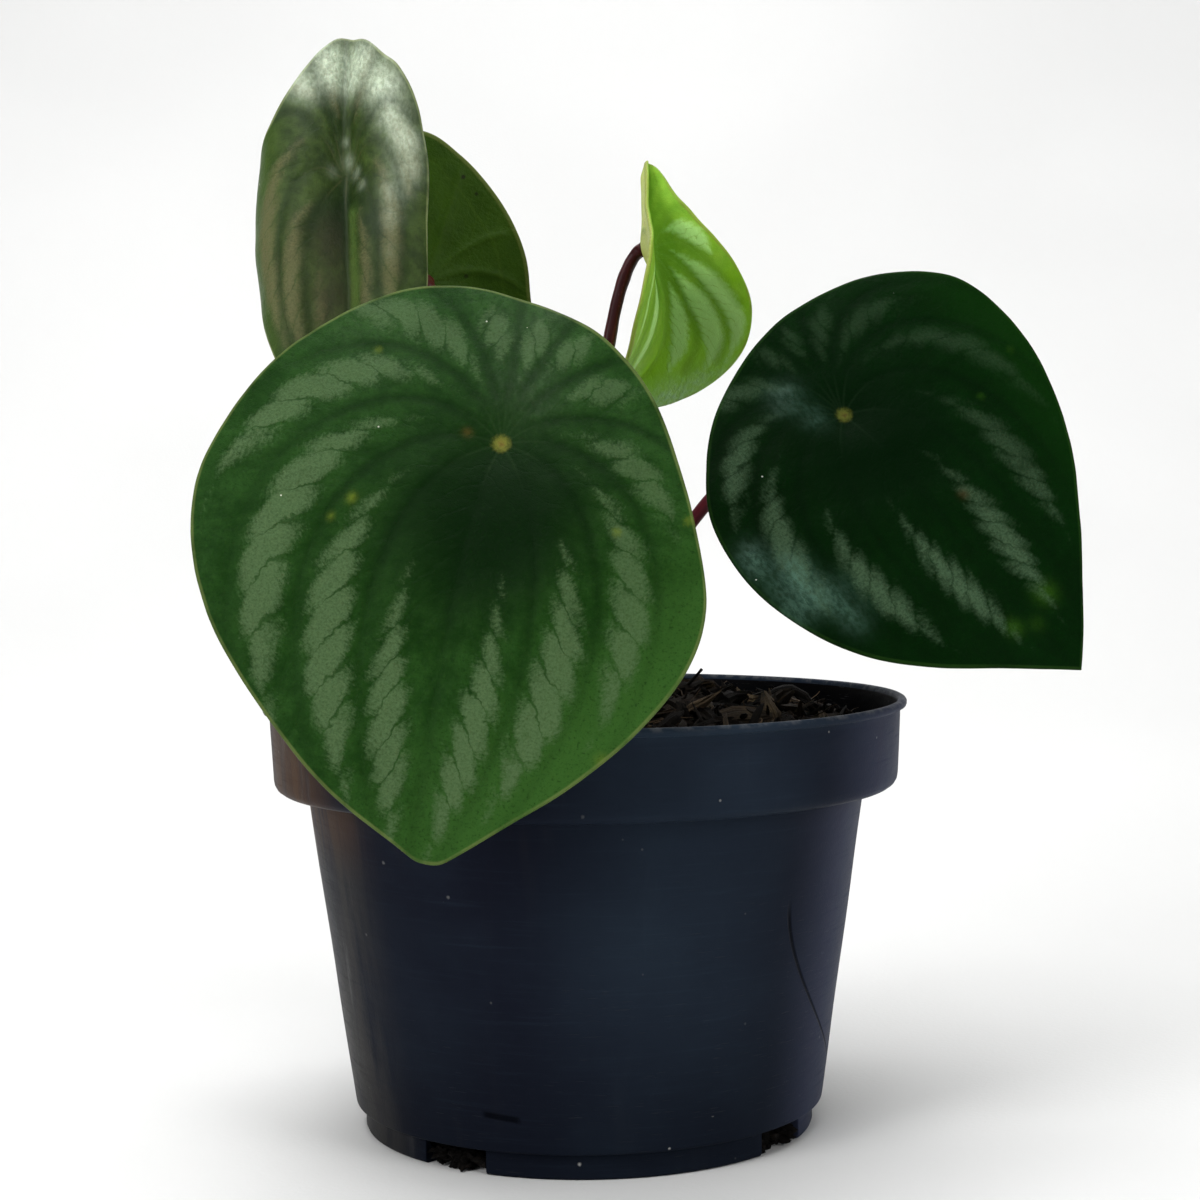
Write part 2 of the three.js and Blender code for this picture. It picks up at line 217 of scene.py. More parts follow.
def dress(name, group, maps, inputs, distance, **values):
    """A material that takes its colour, roughness, coat and relief from a group. The group gets
    the place on the object, and each map under its own name."""
    material, tree, shader = new_material(name, **values)
    made = tree.nodes.new("ShaderNodeGroup")
    made.node_tree = group
    for key, value in inputs.items():
        made.inputs[key].default_value = value
    for title in maps:
        tree.links.new(put(tree, "UVMap", uv_map=title.lower()).socket, made.inputs[title])
    if "Place" in made.inputs:
        tree.links.new(put(tree, "TexCoord", output=3).socket, made.inputs["Place"])
    links = {"Color": "Base Color", "Roughness": "Roughness", "Coat": "Coat Weight"}
    for title, target in links.items():
        if title in made.outputs:
            tree.links.new(made.outputs[title], shader.inputs[target])
    link_bump(tree, shader, Field(tree, made.outputs["Height"]), distance)
    return material


def plastic_group():
    """Smooth dark plastic: scuffs that run round it, faint grime streaks, two scratches and pale
    dust, with painted reflections on the body, a painted highlight on the lip and painted shade
    towards the foot. The wrap map gives the way round the pot and the height, in units of 100 mm."""
    tree, given, give = new_group(
        "scuffed_plastic", ("Wrap", "Place"),
        ("Base", "Wear And Sheen", "Dust", "Streak And Sheen", "Grime And Sheen", "Painted Sheen", "Scratch And Shade"), {},
        ("Color", "Roughness", "Height"),
    )
    place = given["Place"]
    side, height = part(given["Wrap"], 0), part(given["Wrap"], 1)
    scuff = noise(stretch(place, (60, 60, 1600)), 1.0, 6, 0.65)
    long_scuff = fade(scuff, 0.52, 0.72)
    patch = fade(noise(place, 38, 4), 0.38, 0.7)
    cloud = fade(noise(place, 11, 2), 0.35, 0.65)
    streaked = fade(noise(stretch(place, (170, 170, 16)), 1.0, 4, 0.6), 0.55, 0.75)
    hair = fade(noise(stretch(place, (240, 240, 4200)), 1.0, 2, 0.5), 0.66, 0.74)
    hair = hair * fade(cloud, 0.5, 0.9)
    collar, low = fade(height, 0.62, 0.66), fade(height, 0.22, 0.02)

    grit = 0.12 * noise(place, 1500, 2)
    gap, own = cells(place, 260.0)
    dot = fade(grit + gap, 0.17, 0.1) * fade(0.55 * low + own, 0.955, 0.965)
    dot = dot * (0.6 * low + 0.25)
    gap, own = cells(place, 620.0)
    fleck = fade(grit + gap, 0.24, 0.14) * fade(own, 0.975, 0.98) * (0.38 * collar + 0.12)
    dot = dot.math("MAXIMUM", fleck)

    # Painted reflection: a soft teal strip down the front right of the body, in the scuff colour.
    painted_teal_sheen = fade(abs(side + 0.99), 0.34, 0.03) * (0.2 * streaked + 0.5)
    painted_teal_sheen = painted_teal_sheen * (0.75 * fade(height, 0.02, 0.5) + 0.25)
    wear_and_sheen = 0.2 * long_scuff + 0.18 * patch + 0.12 * cloud + painted_teal_sheen
    # Painted highlight: the lip is painted lighter, in the scuff colour.
    wear_and_sheen = wear_and_sheen + 0.35 * fade(height, 0.765, 0.785)
    # Painted reflection: a lavender-blue strip near the right edge of the body.
    painted_edge_sheen = fade(side, -1.2, -1.45) * fade(side, -1.62, -1.5)
    bands = noise(stretch(place, (190, 190, 9)), 1.0, 3, 0.6)
    # Painted reflection: warm brown bands at the left edge, in the grime and streak colours.
    painted_warm_sheen = fade(side, -0.43, -0.27) * fade(side, 0.3, -0.02) * fade(bands, 0.2, 0.6)
    painted_warm_sheen = painted_warm_sheen * (0.25 * patch + 0.7)
    grime_and_warm_sheen = paint(given["Grime And Sheen"], (fade(height, 0.48, 0.63), given["Streak And Sheen"]))

    fallen = (1.388 - 3.03 * height).math("MAXIMUM", 0.0)
    bend = -1.232 - 0.304 * fallen.math("POWER", 1.75)
    tall = fade(abs(side - bend), 0.007, 0.002)
    tall = tall * fade(height, 0.12, 0.16) * fade(height, 0.48, 0.43)
    across = side + 0.642
    rise = height - (0.08 * across + 0.112)
    short = fade(abs(across), 0.045, 0.03) * fade(abs(rise), 0.008, 0.003)
    line = tall.math("MAXIMUM", short * fade(scuff, 0.3, 0.5))
    settled = fade(noise(place, 420, 3, 0.6), 0.42, 0.68) * fade(height, 0.786, 0.794)
    give("Color", paint(
        given["Base"],
        (wear_and_sheen, given["Wear And Sheen"]),
        # Painted shade: the body darkens towards the foot.
        (0.3 * fade(height, 0.34, 0.04), given["Scratch And Shade"]),
        (0.6 * painted_edge_sheen, given["Painted Sheen"]),
        (0.04 * streaked + painted_warm_sheen, grime_and_warm_sheen),
        # Paler dust-coloured streaks over the painted warm reflection.
        (0.4 * painted_warm_sheen * streaked, given["Dust"]),
        (0.8 * line, given["Scratch And Shade"]),
        (hair * (0.09 * collar + 0.03), given["Dust"]),
        (0.16 * settled, given["Dust"]),
        (dot, given["Dust"]),
    ))
    give("Roughness", 0.12 * long_scuff + 0.1 * cloud + 0.3 * dot + 0.38)
    grain = noise(place, 2600, 2)
    ripple = noise(stretch(place, (100, 100, 300)), 1.0, 2)
    give("Height", 0.1 * grain + 0.5 * ripple - 0.12 * hair - 0.4 * line + 0.5 * dot)
    return tree


scuffed_plastic = plastic_group()


# The grime and streak colours also paint the warm reflection at the left edge.
def pot_material(name, base, wear_and_sheen, streak, grime_and_sheen, painted_sheen):
    inputs = {"Base": srgb(*base), "Wear And Sheen": srgb(*wear_and_sheen), "Streak And Sheen": srgb(*streak),
              "Grime And Sheen": srgb(*grime_and_sheen), "Painted Sheen": srgb(*painted_sheen), "Dust": srgb(150, 150, 148),
              "Scratch And Shade": srgb(2, 3, 6)}
    return dress(name, scuffed_plastic, ("Wrap",), inputs, 0.0004,
                 Specular_IOR_Level=0.018, Specular_Tint=(0.74, 0.78, 1, 1))


def pot_section():
    """The pot's section from the middle of the underside, out, up, over the lip and down inside."""
    outside = [
        (0, 0), (8, 0), (19.6, 0), (20.4, 0.3), (21.4, 1.4), (28, 1.4), (35, 1.4), (38.3, 1.4),
        (39.6, 0.1), (40, 0), (41.4, 0), (41.9, 0.2), (42.1, 0.7), (42.1, 2.5), (42.1, 4.4),
        (42.1, 4.8), (43.5, 4.8), (43.9, 5),
    ]
    body = [(44.04 + (52 - 44.04) * s, 5.8 + 57.2 * s) for s in np.linspace(0, 1, 22)]
    collar = [(52.2, 63.3), (52.6, 63.5), (56.2, 63.5), (57, 63.7), (57.7, 64.2), (58.1, 64.9),
              (58.25, 65.8)]
    collar += [(58.25 + 0.55 * s, 65.8 + 12 * s) for s in np.linspace(0.12, 1, 9)]
    lip = [(58.9, 78.05), (59.5, 78.1), (59.85, 78.25), (60, 78.6), (60, 79.05), (59.8, 79.4),
           (59.45, 79.6), (59.1, 79.6), (58.7, 79.5), (58.4, 79.25), (58.25, 78.7)]
    inside = [(58.15 - 1.1 * s, 78 - 12 * s) for s in np.linspace(0, 1, 9)]
    inside += [(56.5, 65.2), (56, 64.8), (55, 64.7), (51.3, 64.7), (50.9, 64.4)]
    inside += [(50.7 - 7.9 * s, 63.5 - 56.9 * s) for s in np.linspace(0, 1, 12)]
    floor = [(42.2, 6), (40.9, 5.2), (40.9, 4.4), (40.9, 3.4), (40.3, 2.8), (35, 2.8), (28, 2.8),
             (21.4, 2.8), (20, 1.4), (8, 1.4), (0, 1.4)]
    return outside + body + collar + lip + inside + floor


def build_pot():
    columns = 240
    step = 360 / columns
    quarter = columns // NOTCH_COUNT
    notch = 12
    first = NOTCH_AZIMUTH - notch * step / 2
    section = np.array(pot_section(), dtype=float)
    rows = len(section)
    azimuth = np.radians(first + step * np.arange(columns))[:, None]
    radius = np.repeat(section[None, :, 0], columns, axis=0)
    height = np.repeat(section[None, :, 1], columns, axis=0)
    above = np.clip((height - 20) / 60, 0, 1)
    turn = azimuth * np.ones_like(radius)
    radius = radius + above * (0.14 * np.sin(2 * turn + 0.6) + 0.06 * np.sin(5 * turn + 2))
    radius = radius + 0.05 * np.sin(height * 0.21 + 3 * turn) * (radius > 43)
    height = height + above ** 4 * 0.12 * np.sin(3 * turn + 1.2)
    points = np.stack([radius * np.cos(turn), radius * np.sin(turn), height], axis=2)
    points = points.reshape(-1, 3)
    where = {(round(float(r), 2), round(float(z), 2)): row for row, (r, z) in enumerate(section)}
    under, outer = where[(35, 1.4)], where[(42.1, 4.4)]
    inner, top = where[(40.9, 4.4)], where[(35, 2.8)]
    inside = where[(58.25, 78.7)]
    faces, kinds = [], []
    for column in range(columns):
        here = column * rows
        there = (column + 1) % columns * rows
        notched = column % quarter < notch
        for row in range(rows - 1):
            if notched and (under <= row < outer or inner <= row < top):
                continue
            a, b, c, d = here + row, there + row, there + row + 1, here + row + 1
            if row == 0:
                faces.append((0, c, d))
            elif row == rows - 2:
                faces.append((a, b, rows - 1))
            else:
                faces.append((a, b, c, d))
            kinds.append(int(row >= inside))
        if notched:
            faces.append((here + under, there + under, there + top, here + top))
            faces.append((here + outer, here + inner, there + inner, there + outer))
            kinds += [0, 0]
        if column % quarter in (0, notch):
            rim = [here + row for row in (*range(under, outer + 1), *range(inner, top + 1))]
            faces.append(tuple(rim if column % quarter == notch else reversed(rim)))
            kinds.append(0)
    keep = sorted({index for face in faces for index in face})
    renumber = {old: new for new, old in enumerate(keep)}
    faces = [tuple(renumber[index] for index in face) for face in faces]
    points = points[keep]
    # These colours also paint reflections: teal front right, warm brown left, lavender right.
    clean = pot_material("dark_plastic", (18, 21, 31), (35, 45, 56), (70, 52, 38), (52, 51, 49),
                         (58, 63, 84))
    # The inside gets a much darker copy of the plastic.
    darker_inside = pot_material("darker_inner_plastic", (4, 5, 7), (13, 12, 11), (34, 27, 21), (30, 27, 22),
                          (8, 8, 9))
    pot = add_piece("nursery_pot", points, faces, [clean, darker_inside], ["pot"])
    pot.data.polygons.foreach_set("material_index", np.array(kinds, dtype=np.int32))
    around_pot = np.arctan2(points[:, 1], -points[:, 0]) * WRAP_RADIUS
    add_map(pot, "wrap", np.stack([around_pot, points[:, 2]], axis=1) / 100)
    # A face that crosses the map's seam has its low corners moved up by a full turn
    wrap = pot.data.uv_layers["wrap"].data
    for face in pot.data.polygons:
        corners = [wrap[index].uv for index in face.loop_indices]
        if max(corner.x for corner in corners) > 1.5:
            for corner in corners:
                if corner.x < -1.5:
                    corner.x += 2 * math.pi * WRAP_RADIUS / 100
    edges = pot.modifiers.new("rounded edges", "BEVEL")
    edges.width = 0.22 * MM
    edges.segments = 2
    edges.limit_method = "ANGLE"
    edges.angle_limit = math.radians(50)
    flats = pot.modifiers.new("flat faces", "WEIGHTED_NORMAL")
    flats.keep_sharp = False


build_pot()


# The potting mix is coarse bark, peat fibre and grit, filled in damp and mounded a little round
# the plant. A lumpy plug fills the pot. Loose chips, splinters, crumbs and root fibres lie on it.
MIX_SEED = 23


def mix_height(x, y):
    share = np.minimum(1, np.hypot(x, y) / 60)
    mound = 71 + 7.5 * (1 - share ** 2)
    broad = np.sin(0.31 * x + 1.3) * np.sin(0.27 * y - 0.4)
    return mound + 0.8 * (broad + 0.7 * np.sin(0.47 * x - 0.38 * y + 2.1))


def crumble(x, y, seed):
    """Fine lumps: a sum of waves in random directions, each finer than the one before."""
    rng = np.random.default_rng(seed)
    total = np.zeros_like(x)
    for size in (7.0, 4.6, 3.1, 2.2, 1.6, 1.2, 0.9):
        for _ in range(4):
            way = rng.uniform(0, 2 * math.pi)
            phase = rng.uniform(0, 2 * math.pi)
            run = (x * math.cos(way) + y * math.sin(way)) * 2 * math.pi / size
            total += size * 0.05 * np.sin(run + phase + 1.4 * np.sin(run * 0.37 + phase * 2))
    return total


def bark_group():
    """Fibrous, damp bark: grain along each chip, its own tint, pale tan on some chips."""
    tree, given, give = new_group("bark", ("Grain", "Tint", "Place"), ("Dark", "Brown", "Tan"),
                                  {}, ("Color", "Roughness", "Height"))
    tint, warmth = part(given["Tint"], 0), part(given["Tint"], 1)
    grain = noise(stretch(given["Grain"], (18, 260, 1)), 1.0, 5, 0.7)
    crumbs = noise(given["Place"], 900, 4, 0.7)
    lit = 1.3 * grain + 0.5 * crumbs + 0.5 * tint - 0.84
    damp = fade(noise(given["Place"], 160, 3), 0.62, 0.4)
    give("Color", paint(
        given["Dark"],
        (fade(lit, 0.05, 0.75), given["Brown"]),
        (fade(warmth, 0.6, 0.95) * fade(lit, 0.2, 0.75), given["Tan"]),
        (0.45 * damp, given["Dark"]),
    ))
    give("Roughness", 0.92 - 0.22 * damp)
    give("Height", 0.5 * crumbs + grain)
    return tree


bark = bark_group()


def bark_material(name, dark, brown, tan, distance=0.0006):
    inputs = {"Dark": srgb(*dark), "Brown": srgb(*brown), "Tan": srgb(*tan)}
    return dress(name, bark, ("Grain", "Tint"), inputs, distance, Specular_IOR_Level=0.12)


def add_mix(name, parts, material):
    """One piece from many small closed shapes: (points, faces, grain map, tint)."""
    points, faces, grain, tint = [], [], [], []
    for shape, sides, along, shade in parts:
        start = len(points)
        points.extend(shape)
        faces.extend(tuple(index + start for index in face) for face in sides)
        grain.extend(along)
        tint.extend([shade] * len(shape))
    made = add_piece(name, points, faces, [material], ["potting_mix"])
    made.data.set_sharp_from_angle(angle=math.radians(28))
    add_map(made, "grain", grain)
    add_map(made, "tint", tint)
    return made


def ring_faces(count, sides, start=0):
    """Faces between rings of points, from one ring to the next. start is the first point."""
    faces = []
    for ring in range(count - 1):
        a = start + ring * sides
        b = a + sides
        for i in range(sides):
            j = (i + 1) % sides
            faces.append((a + i, a + j, b + j, b + i))
    return faces


def tube_faces(count, sides):
    last = (count - 1) * sides
    caps = [tuple(range(sides))[::-1], tuple(last + i for i in range(sides))]
    return caps + ring_faces(count, sides)


def closed_rings(bottom, rings, top):
    """The points and faces of a body of rings that a point closes at each end."""
    sides = len(rings[0])
    points = [bottom, *np.concatenate(rings).tolist(), top]
    last = len(points) - 1
    faces = ring_faces(len(rings), sides, 1)
    for i in range(sides):
        j = (i + 1) % sides
        faces += [(0, 1 + j, 1 + i), (last - sides + i, last - sides + j, last)]
    return points, faces


def build_plug():
    columns = 200
    floor = 3.1
    rng = np.random.default_rng(MIX_SEED)
    lower = [(12, floor), (24, floor), (33, floor), (38, floor), (40.2, 3.7), (40.6, 5),
             (42.3, 6.8)]
    lower += [(42.3 + 8 * s, 6.8 + 58.2 * s) for s in np.linspace(0.1, 1, 14)]
    lower += [(51, 65.2), (55.2, 65.3), (56.2, 66.2), (56.3, 68), (56.3, 69.6)]
    azimuth = np.linspace(0, 2 * math.pi, columns, endpoint=False)
    rows = []
    for radius, height in lower:
        rough = rng.uniform(-0.25, 0.1, columns)
        lift = np.zeros(columns)
        if height == floor:
            lift = np.abs(crumble(radius * np.cos(azimuth), radius * np.sin(azimuth), 5)) * 0.5
        x, y = (radius + rough) * np.cos(azimuth), (radius + rough) * np.sin(azimuth)
        rows.append(np.stack([x, y, height + lift], axis=1))
    for share in np.linspace(1, 0, 76)[:-1]:
        x = 56.2 * share * np.cos(azimuth)
        y = 56.2 * share * np.sin(azimuth)
        z = mix_height(x, y) - 0.9 + 1.5 * crumble(x, y, MIX_SEED)
        rows.append(np.stack([x, y, z], axis=1))
    points, faces = closed_rings((0, 0, floor), rows, (0, 0, 78))
    grain = [(p[0] / 100, p[1] / 100) for p in points]
    material = bark_material("peat", (5, 4, 3), (30, 23, 17), (64, 49, 35))
    add_mix("peat_plug", [(points, faces, grain, (0.35, 0.3))], material)


def chunk(rng, length, width, thick, sides, stations=6):
    """A splinter of bark along X: ridged sides, a twisted and broken outline, frayed ends."""
    ridge = [rng.uniform(0.6, 0.8) + 0.4 * (i % 2) * rng.random() for i in range(sides)]
    twist = rng.uniform(-0.5, 0.5)
    bow = rng.uniform(-0.08, 0.08) * length
    points, along = [], []
    for k in range(stations):
        s = k / (stations - 1)
        full = min(1, 0.35 + 2.2 * min(s, 1 - s) + rng.uniform(-0.1, 0.1))
        slip = (rng.uniform(-0.08, 0.08) * width, rng.uniform(-0.08, 0.08) * thick)
        for i in range(sides):
            angle = 2 * math.pi * i / sides + twist * s
            reach = ridge[i] * full * rng.uniform(0.93, 1.07)
            x = (s - 0.5) * length
            if k in (0, stations - 1):
                x += rng.uniform(-0.14, 0.14) * length
            across = math.cos(angle) * reach * width / 2 + slip[0]
            lift = math.sin(angle) * reach * thick / 2 + slip[1] + bow * (4 * s * (1 - s) - 0.5)
            points.append((x, across, lift))
            along.append((x / 100, i / sides * (width + thick) * 1.6 / 100))
    return points, tube_faces(stations, sides), along


def laid(points, place, heading, pitch, roll):
    """Turns a shape about X, then tilts and turns it, and moves it to its place."""
    cr, sr = math.cos(roll), math.sin(roll)
    cp, sp = math.cos(pitch), math.sin(pitch)
    ch, sh = math.cos(heading), math.sin(heading)
    moved = []
    for x, y, z in points:
        y, z = y * cr - z * sr, y * sr + z * cr
        x, z = x * cp - z * sp, x * sp + z * cp
        moved.append((place[0] + x * ch - y * sh, place[1] + x * sh + y * ch, place[2] + z))
    return moved


def scatter(rng, count, inner, outer, length, width, thick, lift, tilt, sides):
    parts = []
    for _ in range(count):
        size = rng.uniform(*length)
        wide = min(size * 0.8, rng.uniform(*width))
        radius = math.sqrt(rng.uniform(inner ** 2, (outer - size / 2) ** 2))
        angle = rng.uniform(0, 2 * math.pi)
        x, y = radius * math.cos(angle), radius * math.sin(angle)
        shape, faces, along = chunk(rng, size, wide, rng.uniform(*thick), rng.choice(sides))
        z = float(mix_height(np.float64(x), np.float64(y))) + rng.uniform(*lift)
        shape = laid(shape, (x, y, z), rng.uniform(0, 2 * math.pi), rng.uniform(-tilt, tilt),
                     rng.uniform(-0.9, 0.9))
        parts.append((shape, faces, along, (rng.random(), rng.random())))
    return parts


def strand(rng, path, radius, sides=5):
    """A closed thread along a list of points."""
    points, along = [], []
    count = len(path)
    length = 0
    for k, place in enumerate(path):
        before, after = Vector(path[max(0, k - 1)]), Vector(path[min(count - 1, k + 1)])
        way = (after - before).normalized()
        side = way.cross(Vector((0.3, 0.2, 1))).normalized()
        up = side.cross(way)
        thick = radius * (1 - 0.6 * k / count) * rng.uniform(0.85, 1.15)
        if k:
            length += (Vector(place) - Vector(path[k - 1])).length
        for i in range(sides):
            angle = 2 * math.pi * i / sides
            corner = Vector(place) + thick * (math.cos(angle) * side + math.sin(angle) * up)
            points.append(tuple(corner))
            along.append((length / 100, i / sides * radius * 6 / 100))
    return points, tube_faces(count, sides), along


def build_fibres(rng):
    wall = 55.6
    steps = 8
    parts = []
    for _ in range(620):
        radius = math.sqrt(rng.uniform(9 ** 2, 51 ** 2))
        angle = rng.uniform(0, 2 * math.pi)
        place = Vector((radius * math.cos(angle), radius * math.sin(angle), 0))
        place.z = float(mix_height(np.float64(place.x), np.float64(place.y))) + 0.6
        heading = rng.uniform(0, 2 * math.pi)
        rise = rng.choice([0.05, 0.1, 0.2, 0.35, 0.6])
        length = rng.uniform(3, 12)
        path = []
        for _ in range(steps):
            path.append(tuple(place))
            way = Vector((math.cos(heading), math.sin(heading), rise)).normalized()
            place = place + way * (length / steps)
            reach = math.hypot(place.x, place.y)
            if reach > wall:
                place.x *= wall / reach
                place.y *= wall / reach
            heading += rng.uniform(-0.5, 0.5)
            rise += rng.uniform(-0.35, 0.2)
        thread = strand(rng, path, rng.uniform(0.1, 0.32))
        parts.append((*thread, (rng.uniform(0.4, 1), rng.uniform(0.5, 1))))
    return parts


def placed(rng):
    """The few pieces that stand out: a heap by the stalks, a tan chunk, a chip, a curl, a twig."""
    parts = []
    for place, size, heading, pitch, shade in (
        ((34, -15, 77.6), (8.5, 4.4, 3.4), 1.9, 0.75, (1.0, 1.0)),
        ((30, -3, 79.2), (4.6, 2.2, 1.3), 0.2, 0.1, (1.0, 1.0)),
        ((16, 2, 80.2), (12, 5, 3), 0.4, 0.2, (0.6, 0.5)),
        ((20, 10, 80.4), (11, 4, 2.6), 2.3, -0.2, (0.8, 0.9)),
        ((25, -8, 78.8), (12, 5, 3), -0.5, 0.3, (0.2, 0.4)),
        ((13, -12, 79.6), (10, 4, 3), 1.2, 0.4, (0.9, 0.6)),
        ((22, 20, 79.4), (12, 4.4, 3), 0.1, -0.1, (0.4, 0.8)),
        ((41, -6, 75.4), (9, 4, 2.4), 2.6, 0.2, (0.9, 0.9)),
    ):
        shape, faces, along = chunk(rng, *size, 16, 9)
        parts.append((laid(shape, place, heading, pitch, 0.5), faces, along, shade))
    curl = [(39 - 4.6 * math.cos(a), 9 + 1.2 * math.cos(a), 74.6 + 5.2 * math.sin(a))
            for a in np.linspace(0, math.pi, 12)]
    parts.append((*strand(rng, curl, 1.5, 9), (0.3, 0.3)))
    twig = [(17 + 5 * t, 6 - 6 * t, 79 + 4.4 * t + 1.2 * t * t) for t in np.linspace(0, 1, 8)]
    parts.append((*strand(rng, twig, 0.55, 8), (0.7, 0.6)))
    return parts


def notch_crumbs(rng):
    """Crumbs of the filling that hang in the four drainage notches."""
    lowest = 0.12
    parts = []
    for notch in range(NOTCH_COUNT):
        middle = NOTCH_AZIMUTH + notch * 360 / NOTCH_COUNT
        for _ in range(120):
            angle = math.radians(middle + rng.uniform(-8.5, 8.5))
            radius = rng.uniform(37, 41.4)
            size = (rng.uniform(1.6, 3.6), rng.uniform(1.2, 2.2), rng.uniform(0.9, 1.6))
            shape, faces, along = chunk(rng, *size, 8)
            place = (radius * math.cos(angle), radius * math.sin(angle), rng.uniform(0.5, 2.9))
            shape = laid(shape, place, rng.uniform(0, 6.28), rng.uniform(-0.3, 0.3), 0.4)
            sunk = max(0, lowest - min(z for x, y, z in shape))
            shape = [(x, y, z + sunk) for x, y, z in shape]
            parts.append((shape, faces, along, (0.35 * rng.random(), 0.6 * rng.random())))
    return parts


def build_mix():
    build_plug()
    chips = bark_material("bark_chips", (7, 5, 4), (45, 37, 30), (106, 89, 68))
    rng = random.Random(MIX_SEED)
    coarse = scatter(rng, 150, 9, 56, (6, 14), (2.4, 5.5), (1.6, 3.4), (0.1, 2.4), 0.6,
                     (13, 15, 17))
    heaped = scatter(rng, 70, 9.5, 17, (4, 8), (1.6, 3.4), (1.2, 2.4), (1.2, 4.6), 0.5, (11, 13))
    add_mix("bark_chunks", coarse + heaped + placed(rng), chips)
    fine = scatter(rng, 900, 8.5, 56, (2, 6.5), (0.6, 2.2), (0.4, 1.5), (0.2, 3.2), 1.0, (6, 7, 8))
    add_mix("bark_splinters", fine + notch_crumbs(rng), chips)
    thread = bark_material("root_fibre", (20, 15, 11), (70, 55, 41), (128, 106, 80))
    add_mix("root_fibres", build_fibres(rng), thread)


build_mix()


# The crown is the short, woody stump of a stem that all five stalks grow from, with the scars of
# older leaves round it. It is half buried in the mix, and swells where each stalk leaves it.
CROWN_RADIUS = 7.4
CROWN_BOTTOM = 64


def build_crown():
    columns, rows = 120, 60
    shoulder = 0.7
    azimuth = np.linspace(0, 2 * math.pi, columns, endpoint=False)
    feet = [(0, -4.5), (4.4, -1.7), (-4.5, 0.2), (-1.8, 4.3), (1.2, 0.6)]
    rings = []
    for k in range(1, rows):
        s = k / rows
        if s < shoulder:
            height = CROWN_BOTTOM + 20 * s / shoulder
            radius = CROWN_RADIUS * min(1, 0.62 + 1.4 * s)
        else:
            turn = (s - shoulder) / 0.3 * math.pi / 2
            height = 84 + 2.6 * math.sin(turn)
            radius = CROWN_RADIUS * math.cos(turn) ** 0.7
        scar = 0.28 * np.sin(height * 2.1 + 1.2 * np.sin(azimuth * 2 + 0.7))
        bulge = np.zeros(columns)
        for x, y in feet[:4]:
            away = np.angle(np.exp(1j * (azimuth - math.atan2(y, x))))
            bulge += 0.7 * np.exp(-(away / 0.5) ** 2) * max(0, min(1, (height - 72) / 8))
        rough = scar + bulge + 0.12 * np.sin(azimuth * 11 + height)
        wide = radius - 0.35 + rough * radius / CROWN_RADIUS
        x, y = wide * np.cos(azimuth), wide * np.sin(azimuth)
        sheath = sum(1.9 * np.exp(-((x - fx) ** 2 + (y - fy) ** 2) / 4.4) for fx, fy in feet)
        sheath = (sheath - 0.8) * max(0, min(1, (s - shoulder) / 0.1))
        lump = 0.15 * np.sin(azimuth * 5 + 1) * (s > 0.6)
        rings.append(np.stack([x, y, height + lump + sheath], axis=1))
    points, faces = closed_rings((0, 0, CROWN_BOTTOM), rings, (0, 0, 87))
    skin = bark_material("stem_bark", (34, 18, 15), (66, 42, 31), (84, 82, 44), 0.0004)
    crown = add_piece("crown_stump", points, faces, [skin], ["crown"])
    add_map(crown, "grain", [(math.atan2(y, x) * 0.07, z / 100) for x, y, z in points])
    fresh = [max(0, min(1, (z - 76) / 8)) for x, y, z in points]
    add_map(crown, "tint", [(0.6, 0.3 + 0.5 * share) for share in fresh])


build_crown()
